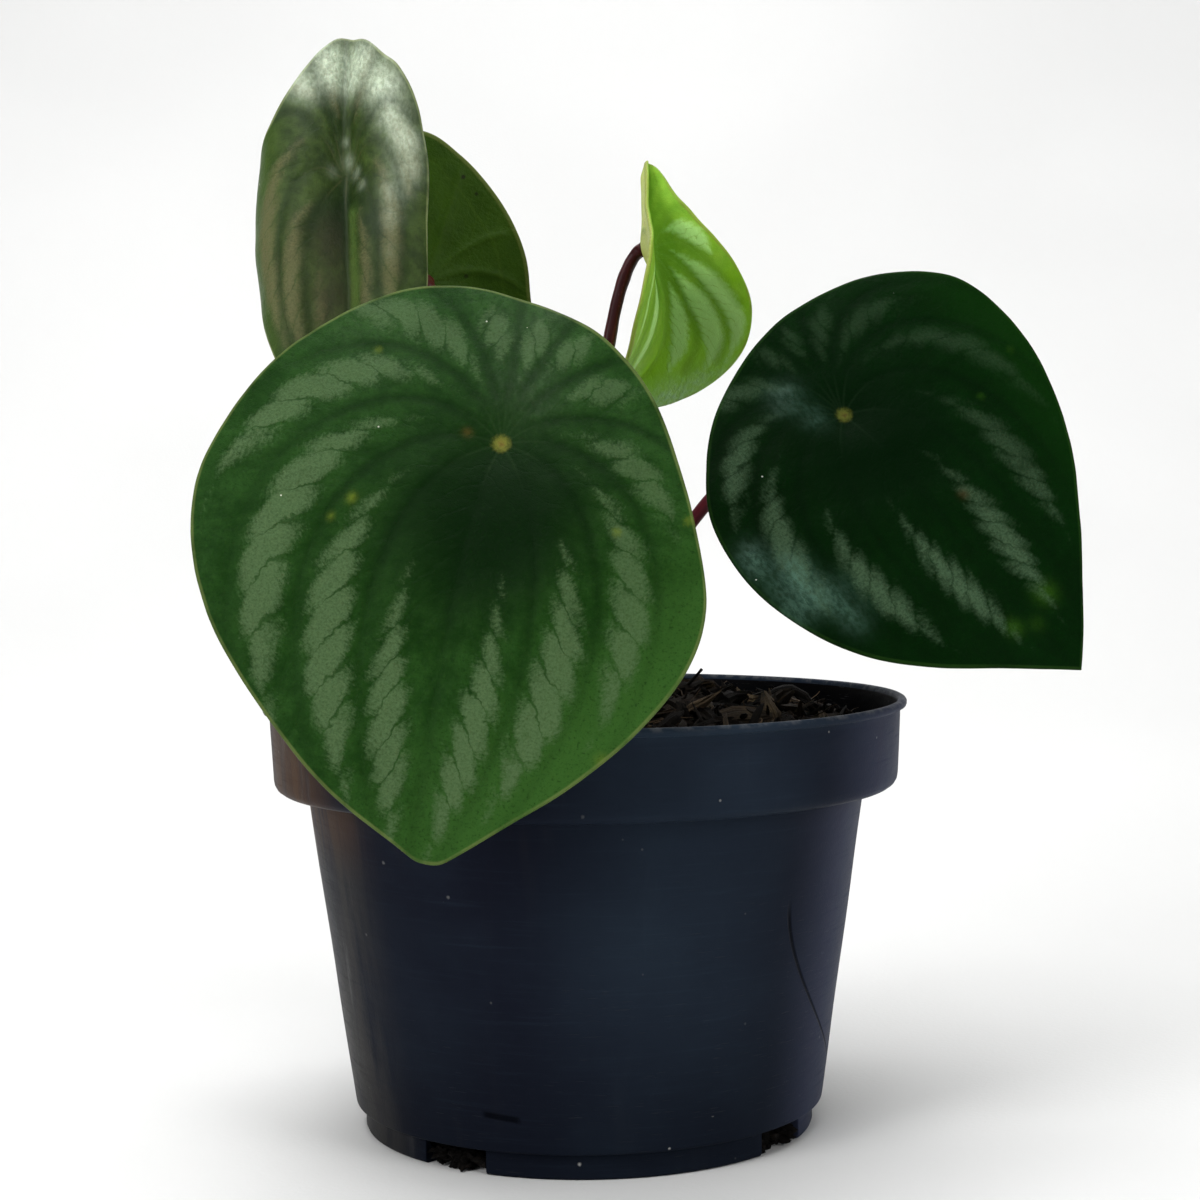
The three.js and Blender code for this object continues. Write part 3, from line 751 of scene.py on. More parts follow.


# The five leaves, in the same order as their blades and stalks below. joint is where the stalk
# meets the middle of the blade, tip the way to its tip and face the way its upper face looks.
# droop and arch bend the blade, fold, gather and bow shape it along the midrib, in degrees and mm,
# crease rounds the fold there, and wave gives the height and the count of the margin's waves.
# foot, rise and lead shape the stalk: where it starts, how it rises, how it reaches the blade.
# margin gives the outline: the angle from the tip and the distance from the joint.
# veins holds how strongly the veins lean to the tip, how far past it they aim, and their bow.
# bands gives each silver band's angle at the joint, half its width, and where it starts and ends.
# Where a leaf is curled, paths and ribs give its bands (half width, points) and main veins instead.
# mesh counts spokes and rings, relief scales the depth of veins and bands, and thin is how many mm
# thinner the blade is inside its margin.
# The painted highlights, patches painted paler and glossier where a lamp's sheen lies on the
# blade, and the brown and yellow marks are each given as x, y, size and strength.
LEAVES = {
    "front": {
        "joint": (-12.7, -60, 126.6), "tip": (-0.2, -0.42, -0.95), "face": (-0.05, -0.95, 0.35),
        "droop": 0.4, "arch": 0.34, "fold": 3, "gather": 0, "bow": (-0.117, -0.0005, 0.00003),
        "crease": 3, "wave": (0.7, 5), "foot": (0, -4.5), "rise": (-2, -9, 36), "lead": 16,
        "margin": [
            (0, 69.2), (1.8, 68.9), (4.4, 66.9), (11, 62.2), (21, 57.5), (34, 52.7), (48, 48.2),
            (60, 42.7), (75, 34), (91, 28.8), (112, 26), (132, 24.9), (155, 24.9), (180, 27.2),
            (205, 30.9), (230, 35.2), (253, 41.3), (273, 46.6), (291, 51.3), (310, 54.6),
            (328, 57.6), (343, 62.4), (355.6, 67.3), (358.4, 68.9), (360, 69.2),
        ],
        "veins": (1.952, 1.14, (-0.0157, 0.00096, -0.000016)),
        "bands": [
            (-171, 2.4, 15, 26), (-158, 3.1, 13, 38), (-141, 3.3, 15, 47), (-117, 3.8, 17, 58),
            (-83, 3.6, 20, 62), (-44, 2.9, 29, 67), (21, 2.7, 28, 67), (63, 3.3, 22, 60),
            (96, 2.8, 18, 50), (118, 2.4, 13, 32), (147, 2.5, 13, 24), (166, 2.2, 15, 24),
            (178, 2.2, 13, 25),
        ],
        "mesh": (400, 88), "relief": 0.65,
        "bloom": [(0, -24, 9, 0.08), (-26, -16, 9, 0.06), (2, -9, 6, 0.12)],
        "brown": [(-5.7, -0.7, 0.8, 0.4)],
        "yellow": [(-21.8, 13.6, 0.8, 0.5), (-24.6, 17.1, 0.6, 0.4), (25, 49, 1, 0.3)],
    },
    "right": {
        "joint": (46.6, -25, 131.9), "tip": (0.63, -0.34, -0.71), "face": (0.12, -0.93, 0.35),
        "droop": 0.23, "arch": 0.29, "fold": 3, "gather": 0, "bow": (0.06, -0.001, 0),
        "crease": 3, "wave": (0.5, 4), "foot": (4.4, -1.7), "rise": (20.6, -2.6, 54.6), "lead": 8.6,
        "margin": [
            (1.5, 60.8), (5, 57.5), (13, 51), (26, 44.7), (39, 41.2), (56, 38.6), (74, 37.2),
            (92, 36.4), (107, 34.9), (123, 30.9), (141, 26.3), (163, 22.5), (186, 20.2),
            (211, 20.4), (234, 22.8), (254, 26.5), (273, 32.1), (292, 37.2), (309, 41.4),
            (324, 45.4), (338, 49), (351, 53.7), (361.5, 60.8),
        ],
        "veins": (2.622, 1.185, (-0.0692, 0.00026, 0.000017)),
        "bands": [
            (-173, 1.3, 13, 20), (-161, 1.7, 12, 24), (-143, 2.1, 14, 29), (-122, 2.4, 19, 38),
            (-86, 2.1, 23, 44), (-27, 2.1, 24, 49), (43, 2.1, 21, 48), (98, 2.2, 18, 41),
            (138, 1.9, 15, 35), (156, 1.7, 13, 26), (168, 1.5, 12, 23), (178, 1.3, 13, 20),
        ],
        "mesh": (320, 76), "relief": 0.45,
        "bloom": [(-6.4, -8.5, 3.2, 0.38), (-4.8, -2.5, 2.4, 0.3), (-31, 12, 3, 0.55),
                  (-28.5, 18, 3.4, 0.85), (-30, 23, 3, 0.9), (-24.4, 25, 3.2, 0.45),
                  (-24, 30, 3, 0.32)],
        "brown": [(5.8, 24.8, 0.9, 0.5)],
        "yellow": [(-3.4, 48.4, 1.5, 0.9), (5.3, 47, 2, 0.9), (0.4, 50.3, 1.4, 0.4)],
    },
    "upper": {
        "joint": (-43, -6, 177.5), "tip": (0.02, -0.3, -0.95), "face": (-0.08, -0.93, 0.35),
        "droop": 0.4, "arch": 6.3, "fold": 52, "gather": 0, "bow": (0, 0, 0),
        "crease": 2, "wave": (0.4, 5), "foot": (-4.5, 0.2), "rise": (-7, 2.5, 42), "lead": 10,
        "margin": [
            (0, 52), (15, 42), (35, 30), (60, 20.5), (90, 18), (120, 19.3), (146, 22.2),
            (157, 23.6), (168, 26.5), (176, 27.9), (181, 28.9), (186, 28.2), (194, 25.2),
            (203, 22), (218, 19), (238, 18.4), (256, 21.2), (275, 25.8), (300, 29), (325, 34),
            (345, 43), (360, 52),
        ],
        "paths": [
            (2.3, (-9, -5), (-13.2, -0.8), (-15.7, 4.5), (-16.8, 11.3), (-16.1, 21.7), (-13, 33)),
            (1.9, (-7.6, 7), (-10.4, 11.2), (-11.2, 17), (-11.6, 25), (-9.5, 36)),
            (1, (-6, 20), (-6, 27.6), (-5, 38)), (1.1, (4.2, 8.6), (5.3, 15), (5.4, 22), (4.4, 34)),
            (1.9, (8, -0.5), (9.8, 4), (10.7, 9.5), (10.6, 18), (9.6, 30)),
            (2.1, (9.5, -11), (13, -5.6), (14.2, 0), (14, 7)),
            (1.5, (-6.6, -13), (-9.5, -16), (-12, -18)), (1.2, (-2, -11), (-3.4, -17), (-5, -25)),
            (1.4, (2.6, -10), (4.6, -16), (6.5, -24)),
        ],
        "ribs": [
            ((0, 0.5), (0, 20), (0, 50)), ((-0.6, -1), (-0.8, -12), (-0.4, -27)),
            ((-1, 0.5), (-6, 0), (-11, 4), (-13.6, 12), (-13.8, 24), (-11, 36)),
            ((-1, 1.2), (-5, 6.5), (-8.4, 15), (-8.8, 26), (-7, 38)),
            ((-1, -0.6), (-6, -7), (-11, -11), (-16, -10)), ((-0.6, -1), (-4, -11), (-8, -21)),
            ((1, 0.8), (5, 3), (7.6, 9), (8.2, 16), (7.8, 27), (6, 40)),
            ((1, 0), (6, -4), (10.6, -2), (12.6, 5), (13, 14), (12, 28)),
            ((1, -0.6), (5.5, -8), (11, -12), (15, -9)), ((0.6, -1), (2.6, -12), (8.5, -22)),
        ],
        "mesh": (280, 68), "relief": 1,
        "bloom": [(3.2, -21.5, 4.8, 0.85), (-2.5, -23.5, 4.6, 0.85), (-8.4, -16.4, 3.4, 0.8),
                  (-4.4, -20, 3.6, 0.7), (0, -18.5, 3.4, 0.55), (6.6, -18.5, 3.6, 0.7),
                  (9.5, -14.5, 3.4, 0.8), (11.4, -9.5, 3.2, 0.8), (13.4, -4, 3, 0.8),
                  (13.6, 1.5, 2.8, 0.6), (11.6, 6, 2.6, 0.45), (10.7, 11, 2.4, 0.25),
                  (10.4, 17, 2.2, 0.1), (0.6, -2.4, 1.3, 0.6), (0, -6, 1, 0.4),
                  (2.6, 0.6, 1.2, 0.5), (4.6, 3.4, 1.1, 0.4), (-3, 0, 1.2, 0.35)],
        "brown": [(-4, 14, 5, 0.45), (-3.5, 24, 5, 0.5), (-3, 34, 5, 0.45)],
        "yellow": [(2.2, y, 1.7, 0.7) for y in (9, 12, 15, 18, 21, 24, 27, 30, 33, 36)],
    },
    "back": {
        "joint": (-30.7, 22, 159.5), "tip": (-0.35, 0.05, -0.93), "face": (-0.1, 0.97, 0.2),
        "droop": 0.34, "arch": 0.34, "fold": 2, "gather": 0, "bow": (0, 0, 0),
        "crease": 3, "wave": (0.6, 4), "foot": (-1.8, 4.3), "rise": (-4, 1, 40), "lead": 10,
        "margin": [
            (0, 50), (15, 42), (35, 33), (60, 27), (90, 24.5), (118, 27.4), (140, 30.9),
            (160, 28.9), (176, 25.3), (194, 22.3), (214, 20.6), (235, 20.1), (255, 20.4),
            (277, 23.4), (300, 28), (325, 34), (345, 42), (360, 50),
        ],
        "veins": (1.9, 1.14, (0, 0, 0)),
        "bands": [
            (-168, 1.6, 10, 26), (-150, 2, 10, 28), (-126, 2.4, 10, 28), (-92, 2.6, 10, 36),
            (-48, 2, 14, 46), (40, 2, 14, 46), (86, 2.5, 10, 36), (120, 2.4, 10, 28),
            (146, 2, 10, 28), (166, 1.6, 10, 26),
        ],
        "mesh": (280, 68), "relief": 0.7,
        "bloom": [(2, -18, 8, 0.15)], "brown": [(8, 20, 0.8, 0.6)], "yellow": [(-12, 9, 1, 0.5)],
    },
    "young": {
        "joint": (13.7, 4, 164), "tip": (0.02, 0.1, -1), "face": (0.58, -0.815, 0),
        "droop": 1.57, "arch": 0.74, "fold": 60, "gather": -0.0172,
        "bow": (0.2555, 0.0127, -0.00062),
        "crease": 1.2, "wave": (0.2, 4), "foot": (1.2, 0.6), "rise": (0.4, 0.4, 62), "lead": 7.5,
        "margin": [
            (0, 34.6), (15, 33.8), (32, 31), (50, 27.1), (66, 22.3), (80, 16.9), (95, 12.8),
            (110, 10.7), (125, 10.1), (140, 10.2), (150, 11.2), (158, 13), (165, 15.1), (171, 16.4),
            (177, 16.5), (184, 15.4), (200, 12.8), (220, 10.7), (240, 10.9), (255, 12.8),
            (270, 17), (285, 20.7), (300, 21.4), (315, 22), (330, 24.8), (345, 29.4), (360, 34.6),
        ],
        "paths": [
            (1.6, (2.4, -3), (5.4, -3.2), (8.4, -2.2), (10.6, -0.6), (12.4, 1.4)),
            (1.8, (4, 0.5), (8.4, 2.9), (11.5, 5), (14.8, 7.6), (17.5, 10.4), (19, 14), (18.6, 20)),
            (2.2, (4, 3.6), (8.2, 7.4), (11.3, 10.4), (14, 13.9), (15.6, 18), (15.2, 23)),
            (1.8, (4, 6.4), (6.9, 11.9), (8.1, 15.4), (8.9, 19.1), (8.6, 25.6)),
            (1.9, (-1, 0), (-3.4, 5), (-5, 10), (-6.4, 14.5), (-8, 19), (-8, 25)),
            (1, (-4, 0), (-9.5, 2.5), (-14, 6), (-14, 11), (-15.4, 16)),
            (1, (-1.5, -3), (-4, -6), (-5, -10)),
        ],
        "ribs": [
            ((0, 0.5), (1.5, 5), (3.2, 10), (4.6, 15), (5.2, 20), (4.3, 26), (0.9, 32)),
            ((0.5, 0), (5, -0.9), (10, 1.4), (14.5, 5.4), (18, 8.6)), ((0, -1), (-0.4, -15)),
            ((0.6, 0.5), (5, 2.4), (10, 6.2), (14, 9.8), (16.8, 14), (17, 20)),
            ((0.8, 0.8), (4.4, 5.4), (8, 10.5), (10.8, 14), (12, 18), (11.6, 24)),
            ((-0.3, 0.5), (-2.6, 4), (-7, 7.6), (-10.6, 12), (-11.4, 17), (-10, 23)),
            ((-0.5, -0.5), (-4, -3), (-8, -3)), ((0.6, -0.6), (4.5, -5.6), (7.5, -6.4)),
        ],
        "mesh": (264, 60), "relief": 0.5, "thin": 0.5,
        "bloom": [(9.4, 31.4, 3.4, 0.8), (12.6, 28.4, 3.2, 0.75), (15.9, 24.7, 3, 0.6),
                  (18.7, 20.4, 2.4, 0.4)],
        "brown": [],
        "yellow": [(4.2, 25, 2.4, 0.9), (5.4, 21.4, 1.6, 0.4), (16.6, 4.4, 2.2, 0.5),
                   (19, 8.4, 1.8, 0.5), (12.8, -1.2, 1.6, 0.35)],
    },
}


def leaf_frame(leaf):
    along = Vector(leaf["tip"]).normalized()
    out = Vector(leaf["face"])
    out = (out - along * out.dot(along)).normalized()
    return np.array(along), np.array(out.cross(along)), np.array(out)


# Each leaf hangs on a slender, round, fleshy stalk, dark red and a little grooved, thicker at its
# foot. It leaves the crown nearly upright, bends over and joins the middle of the blade squarely.
STALK_RADIUS = 1.25
STALK_FOOT = 81.5


def stalk_group():
    """Dark red skin with fine lengthwise streaks and pale pores, of another shade at each end."""
    tree, given, give = new_group("stalk_skin", ("Skin", "Place"),
                                  ("Foot", "Middle", "Top", "Pore"), {},
                                  ("Color", "Roughness", "Height"))
    way = part(given["Skin"], 1)
    streak = noise(stretch(given["Skin"], (9, 6, 1)), 1.0, 4)
    blotch = noise(given["Place"], 160, 3)
    dot = fade(put(tree, "TexVoronoi", {"Vector": given["Place"], "Scale": 900.0}), 0.22, 0.08)
    give("Color", paint(
        given["Foot"],
        (fade(way, 0.0, 0.35), given["Middle"]),
        (fade(way, 0.72, 1.0), given["Top"]),
        (0.2 * fade(streak, 0.45, 0.75), given["Pore"]),
        (0.3 * fade(blotch, 0.5, 0.75), given["Foot"]),
        (0.15 * dot, given["Pore"]),
    ))
    give("Roughness", 0.2 * blotch + 0.3)
    give("Height", 0.7 * streak + 0.2 * dot)
    return tree


stalk_skin = stalk_group()


def stalk_material(name, foot, middle, top):
    inputs = {"Foot": srgb(*foot), "Middle": srgb(*middle), "Top": srgb(*top),
              "Pore": srgb(120, 60, 60)}
    return dress(name, stalk_skin, ("Skin",), inputs, 0.0002, Subsurface_Weight=0.08,
                 Subsurface_Scale=0.0015, Specular_IOR_Level=0.16)


def build_stalk(name, material):
    leaf = LEAVES[name]
    along, across, out = leaf_frame(leaf)
    foot = np.array((*leaf["foot"], STALK_FOOT))
    bend = foot + np.array(leaf["rise"])
    top = np.array(leaf["joint"]) - out * 2.2
    approach = np.array(leaf["joint"]) - out * (2.8 + leaf["lead"])
    steps, sides = 130, 28
    rng = random.Random(sum(ord(letter) for letter in name))
    phases = [rng.uniform(0, 6.28) for _ in range(4)]
    side = np.array((1.0, 0.0, 0.0))
    points, skin = [], []
    for k in range(steps + 1):
        t = k / steps
        s = 1 - t
        place = s ** 3 * foot + 3 * s * s * t * bend + 3 * s * t * t * approach + t ** 3 * top
        way = 3 * s * s * (bend - foot) + 6 * s * t * (approach - bend)
        way = way + 3 * t * t * (top - approach)
        way = way / np.linalg.norm(way)
        side = side - way * side.dot(way)
        side = side / np.linalg.norm(side)
        up = np.cross(way, side)
        radius = STALK_RADIUS * (1 + 0.25 * math.exp(-t * 14) + 0.5 * math.exp(-(1 - t) * 60))
        radius *= 1 + 0.03 * math.sin(t * 31 + phases[0]) + 0.02 * math.sin(t * 67 + phases[1])
        for i in range(sides):
            angle = 2 * math.pi * i / sides
            groove = 1 - 0.07 * math.exp(-((angle - math.pi) / 0.5) ** 2)
            ridge = 1 + 0.018 * math.sin(5 * angle + phases[2] + 2 * t)
            corner = math.cos(angle) * side + math.sin(angle) * up
            points.append(place + radius * groove * ridge * corner)
            skin.append((i / sides if i <= sides / 2 else 1 - i / sides, t))
    stalk = add_piece(f"petiole_{name}", points, tube_faces(steps + 1, sides), [material],
                      [f"stalk_{name}"])
    add_map(stalk, "skin", skin)


def build_stalks():
    red = stalk_material("red_stalk", (58, 16, 20), (72, 20, 26), (84, 40, 34))
    dusky = stalk_material("dusky_stalk", (60, 18, 22), (96, 30, 42), (104, 44, 44))
    maroon = stalk_material("maroon_stalk", (40, 8, 11), (44, 9, 12), (48, 12, 14))
    for name, material in (("front", red), ("right", dusky), ("upper", red), ("back", red),
                           ("young", maroon)):
        build_stalk(name, material)


build_stalks()


# The blades are thick, shield-shaped and glossy: silver bands between sunken main veins that run
# from the joint and lean to the tip. Both faces follow the same bent sheet, with a rounded margin;
# the veins are grooves above and ridges below, and the silver bands are slightly raised.
BLADE_THICKNESS = 1.1
EDGE_THICKNESS = 0.8
NAVEL_DEPTH = 1.4


def curve(knots, place):
    """Points of a smooth curve, at places counted in knots. The end knots only give its bend."""
    index = np.minimum(place.astype(int), len(knots) - 4)
    t = (place - index)[:, None]
    p0, p1, p2, p3 = (knots[index + k] for k in range(4))
    v0, v1 = (p2 - p0) / 2, (p3 - p1) / 2
    cubic = (2 * p1 - 2 * p2 + v0 + v1) * t ** 3 + (-3 * p1 + 3 * p2 - 2 * v0 - v1) * t ** 2
    return cubic + v0 * t + p1


def margin_points(leaf, count):
    polar = np.array(leaf["margin"], dtype=float)
    angle = np.radians(polar[:, 0])
    knots = np.stack([polar[:, 1] * np.sin(angle), polar[:, 1] * np.cos(angle)], axis=1)
    place = np.arange(count) / count * (len(knots) - 1)
    return curve(np.concatenate([knots[:1], knots, knots[-1:]]), place)


def blade_sheet(leaf, x, y, share):
    """Where a point of the flat leaf lies in space, and the way the upper face looks there."""
    along, across, out = leaf_frame(leaf)
    droop, arch = math.radians(leaf["droop"]), math.radians(leaf["arch"])
    fold = math.radians(leaf["fold"]) * (1 + leaf["gather"] * y)
    first, second, third = leaf["bow"]
    stray = first * y + second * y ** 2 + third * y ** 3
    off = x - stray
    beyond = np.hypot(off, leaf["crease"]) - leaf["crease"]
    slope = fold - arch * beyond
    bent = (np.sin(fold) - np.sin(slope)) / arch
    sideways = bent + (np.abs(off) - beyond) * np.cos(fold)
    lift = (np.cos(slope) - np.cos(fold)) / arch
    turn = droop * y
    rib_out = np.cos(turn)[:, None] * out + np.sin(turn)[:, None] * along
    spread = beyond / (np.abs(off) + 1e-9) * slope
    outward = np.cos(spread)[:, None] * rib_out
    outward = outward - (np.sign(off) * np.sin(spread))[:, None] * across
    wave_height, wave_count = leaf["wave"]
    wave = wave_height * share ** 3 * np.sin(wave_count * np.arctan2(x, y) + 1)
    navel = NAVEL_DEPTH * np.exp(-(x * x + y * y) / 25)
    point = np.array(leaf["joint"]) + (np.sin(turn) / droop)[:, None] * along
    point = point - ((1 - np.cos(turn)) / droop)[:, None] * out
    point = point + (np.sign(off) * sideways + stray)[:, None] * across
    point = point + lift[:, None] * rib_out + (wave - navel)[:, None] * outward
    return point, outward


def around(angle):
    return (angle + 180) % 360 - 180


def beside(points, x, y):
    """How far from a curve, how far towards the midrib from it, how far along, and its length."""
    knots = np.array(points, dtype=float)
    knots = np.concatenate([[2 * knots[0] - knots[1]], knots, [2 * knots[-1] - knots[-2]]])
    path = curve(knots, np.linspace(0, len(points) - 1, 48))
    gap = np.hypot(x[:, None] - path[:, 0], y[:, None] - path[:, 1])
    near = gap.argmin(axis=1)
    way = np.gradient(path, axis=0)
    way = way / np.hypot(way[:, 0], way[:, 1])[:, None]
    dx, dy = x - path[near, 0], y - path[near, 1]
    ahead = dx * way[near, 0] + dy * way[near, 1]
    side = dx * way[near, 1] - dy * way[near, 0]
    run = np.concatenate([[0], np.cumsum(np.hypot(*np.diff(path, axis=0).T))])
    past_end = ((near == 0) & (ahead < 0)) | ((near == len(path) - 1) & (ahead > 0))
    gap = np.where(past_end, gap.min(axis=1), np.abs(side))
    middle = len(path) // 2
    toward = -np.sign(path[middle, 0] * way[middle, 1])
    return gap, side * toward, run[near] + ahead, run[-1]


def curved_bands(leaf, x, y):
    """For each band along a curve: half its width there, how far from its middle, how far towards
    the midrib, and how far out. Then how far from the nearest main vein."""
    bands = []
    for half, *points in leaf["paths"]:
        gap, toward, run, length = beside(points, x, y)
        grown = np.clip(run / length / 0.35, -0.4, 1)
        ended = np.clip((length - run) / length / 0.3, -0.4, 1)
        bands.append((half * (grown + ended - 1), gap, toward, run))
    return bands, np.min([beside(points, x, y)[0] for points in leaf["ribs"]], axis=0)


def fanned_bands(leaf, x, y):
    """The same for bands that fan out from the joint and lean to the tip."""
    lean, past, (first, second, third) = leaf["veins"]
    goal = leaf["margin"][0][1] * past

    def heading(px, py):
        off = px - (first * py + second * py ** 2 + third * py ** 3)
        return np.degrees(np.arctan2(off, py) + lean * np.arctan2(off, goal - py))

    here = heading(x, y)
    step = 0.02
    steep = np.hypot(around(heading(x + step, y) - here), around(heading(x, y + step) - here))
    steep = steep / step + 1e-6
    reach = np.hypot(x, y)
    bands = []
    for angle, half, start, end in leaf["bands"]:
        offset = around(here - angle) / steep
        grown = np.clip((reach - start) / (end - start) / 0.4, -1.4, 1)
        ended = np.clip((end - reach) / (end - start) / 0.3, -1.4, 1)
        toward = -offset if angle > 0 else offset
        bands.append((half * (grown + ended - 1), np.abs(offset), toward, reach))
    angles = [band[0] for band in leaf["bands"]]
    ribs = [(a + b) / 2 for a, b in zip(angles, angles[1:] + [angles[0] + 360])]
    return bands, np.min([np.abs(around(here - rib)) / steep for rib in ribs], axis=0)


def vein_fields(leaf, x, y):
    """In mm: how far inside a silver band, from the nearest main vein, towards the midrib from the
    band's middle, and how far out along the vein."""
    bands, rib = (curved_bands if "paths" in leaf else fanned_bands)(leaf, x, y)
    inside = np.full(len(x), -8.0)
    nearest = np.full(len(x), 90.0)
    inward, out = np.zeros(len(x)), np.zeros(len(x))
    for number, (width, gap, toward, run) in enumerate(bands):
        inside = np.maximum(inside, width - gap)
        closer = gap < nearest
        nearest = np.where(closer, gap, nearest)
        inward = np.where(closer, toward, inward)
        out = np.where(closer, run + 1.5 * np.clip(toward, -6, 6) + 2.3 * number, out)
    return inside, np.minimum(rib, 50), np.clip(inward, -9, 9), out


def undulate(x, y, seed, size):
    rng = np.random.default_rng(seed)
    total = np.zeros_like(x)
    for _ in range(5):
        way = rng.uniform(0, 2 * math.pi)
        length = size * rng.uniform(0.7, 1.4)
        run = (x * math.cos(way) + y * math.sin(way)) * 2 * math.pi / length
        total += 0.45 * np.sin(run + rng.uniform(0, 6.28))
    return total


def leaf_group():
    """The upper face: silver bands with brushed edges and dark veinlets, grooves, rim and spot,
    with painted light and shade on the greens and painted highlights.
    """
    tree, given, give = new_group(
        "striped_blade",
        ("Flat", "Bands", "Growth", "Painted_Light", "Brush", "Marks", "Fade Way"),
        ("Deep", "Dark", "Mid", "Silver", "Light Green", "Rim", "Spot", "Speck", "Brown", "Stain",
         "Painted Highlight"),
        {"Band Fade": 0.0, "Softness": 0.2, "Feather": 1.0, "Veinlets": 1.0, "Patch": 6.5,
         "Spot Size": 2.0, "Silver Share": 1.0, "Rays": 0.1, "Mottle": 0.5, "Ripple": 0.6,
         "Grain": 0.5},
        ("Color", "Roughness", "Coat", "Height"),
    )
    flat = stretch(given["Flat"], (100, 100, 0))
    reach = put(tree, "VectorMath", {0: flat}, 1, operation="LENGTH")
    inside, rib = 10 * part(given["Bands"], 0), 10 * part(given["Bands"], 1)
    out, rim = 100 * part(given["Growth"], 0), 100 * part(given["Growth"], 1)
    painted_light, bloom = part(given["Painted_Light"], 0), part(given["Painted_Light"], 1)
    brown, yellow = part(given["Marks"], 0), part(given["Marks"], 1)
    inward = 10 * part(given["Brush"], 1)
    coarse = noise(flat, 0.13, 3)
    middle = noise(flat, 0.5, 3, 0.6)
    fine = noise(flat, 1.5, 4, 0.7)
    grit = noise(flat, 2.6, 3, 0.7)
    bristle = noise(stretch(given["Brush"], (230, 7, 0)), 1.0, 3, 0.7)

    beat = ((2.4 * middle + 6 * coarse + out) / given["Patch"]).math("FRACT")
    scallop = 6.4 * beat * (1 - beat) - 1.15
    ragged = 3.4 * bristle + 3.4 * fine - 3.4
    edge = (scallop + ragged) * given["Feather"]
    silver = fade(inside + edge, -0.8 - given["Softness"], 1.3 + given["Softness"])
    taper = 0.017 * (3 * middle + inward) - 0.02
    veinlet = fade(abs(beat - 0.5) + taper, 0.445, 0.51) * given["Veinlets"]
    thin = fade(0.8 * fine + grit, 1.12, 0.62) * fade(given["Grain"], 0.0, 0.3)
    toward = put(tree, "VectorMath", {0: flat, 1: given["Fade Way"]}, 1, operation="DOT_PRODUCT")
    silvered = silver * (1 - 0.85 * veinlet) * (1.02 - 0.52 * thin) * fade(coarse, 0.12, 0.42)
    silvered = silvered * given["Silver Share"]
    silvered = silvered * (1 - fade(toward, -1.2, 0.7) * given["Band Fade"])

    groove = fade(rib, 1.5, 0.15)
    wide_groove = fade(1.5 * middle + rib, 4.2, 0.6)
    young = fade(reach, 3.0, 10.0) * (0.75 * fade(reach, 45.0, 20.0) + 0.25)
    patchy = 0.9 * coarse + 0.5 * middle - 0.2
    fleck = noise(stretch(given["Flat"], (100, 100, 3)), 0.85, 5, 0.7)
    grained = 0.5 * grit + 0.5 * fine
    near = (1.6 * fine + reach) / given["Spot Size"]
    gap, own = cells(flat, 0.3)
    speck = fade(0.08 * fine + gap, 0.1, 0.07) * fade(own, 0.93, 0.94)
    gap, own = cells(stretch(given["Flat"], (100, 100, 7)), 0.09)
    blot = fade(0.16 * fine + gap, 0.2, 0.08) * fade(own, 0.84, 0.86)
    ripple = noise(stretch(given["Flat"], (100, 60, 5)), 1.1, 4, 0.65)
    # Painted highlight: the patches are rippled and kept out of the vein grooves.
    bloom = bloom * (1 - fade(ripple, 0.66, 0.34) * given["Ripple"]) * (1 - 0.55 * wide_groove)
    give("Color", paint(
        given["Dark"],
        (fade(patchy, 0.3, 0.7), given["Mid"]),
        (0.38 * wide_groove, given["Dark"]),
        # Painted light and shade: deeper greens where the blade is shaded, lighter where it is lit.
        (fade(painted_light, 0.5, 0.0), given["Deep"]),
        (fade(painted_light, 0.5, 1.0), given["Light Green"]),
        (fade(fleck, 0.52, 0.7) * given["Mottle"] * (1 - 0.7 * painted_light), given["Deep"]),
        (fade(fleck, 0.48, 0.3) * given["Mottle"] * (0.9 * painted_light), given["Light Green"]),
        (fade(grained, 0.5, 0.36) * given["Grain"], paint(given["Dark"], (0.45, given["Deep"]))),
        (0.5 * fade(grained, 0.52, 0.66) * given["Grain"] * (0.8 * painted_light + 0.1), given["Light Green"]),
        (yellow * fade(fine, 0.1, 0.6), given["Stain"]),
        (silvered, given["Silver"]),
        (brown * fade(fine, 0.25, 0.5), given["Brown"]),
        (0.42 * groove * young, given["Deep"]),
        (0.45 * veinlet * silver, given["Dark"]),
        (fade(rib, 0.35, 0.05) * fade(reach, 11.0, 3.0) * given["Rays"], given["Silver"]),
        (fade(near, 1.5, 0.6) * fade(middle, 0.15, 0.5), given["Spot"]),
        (0.75 * fade(near, 0.95, 0.4), given["Brown"]),
        (0.6 * fade(rim, 0.42, 0.1) * fade(coarse, 0.2, 0.6), given["Rim"]),
        (speck, given["Speck"]),
        (0.3 * blot, given["Stain"]),
        (bloom, given["Painted Highlight"]),
    ))
    give("Roughness", 0.2 * fine + 0.08 * silvered + 0.26)
    give("Coat", 0.35 * bloom)
    bumps = 0.7 * middle + 0.45 * fine + 0.25 * noise(flat, 5.0, 2)
    marks = 0.35 * silvered - 0.2 * veinlet + 1.6 * ripple * bloom + 0.4 * speck
    give("Height", bumps + marks)
    return tree


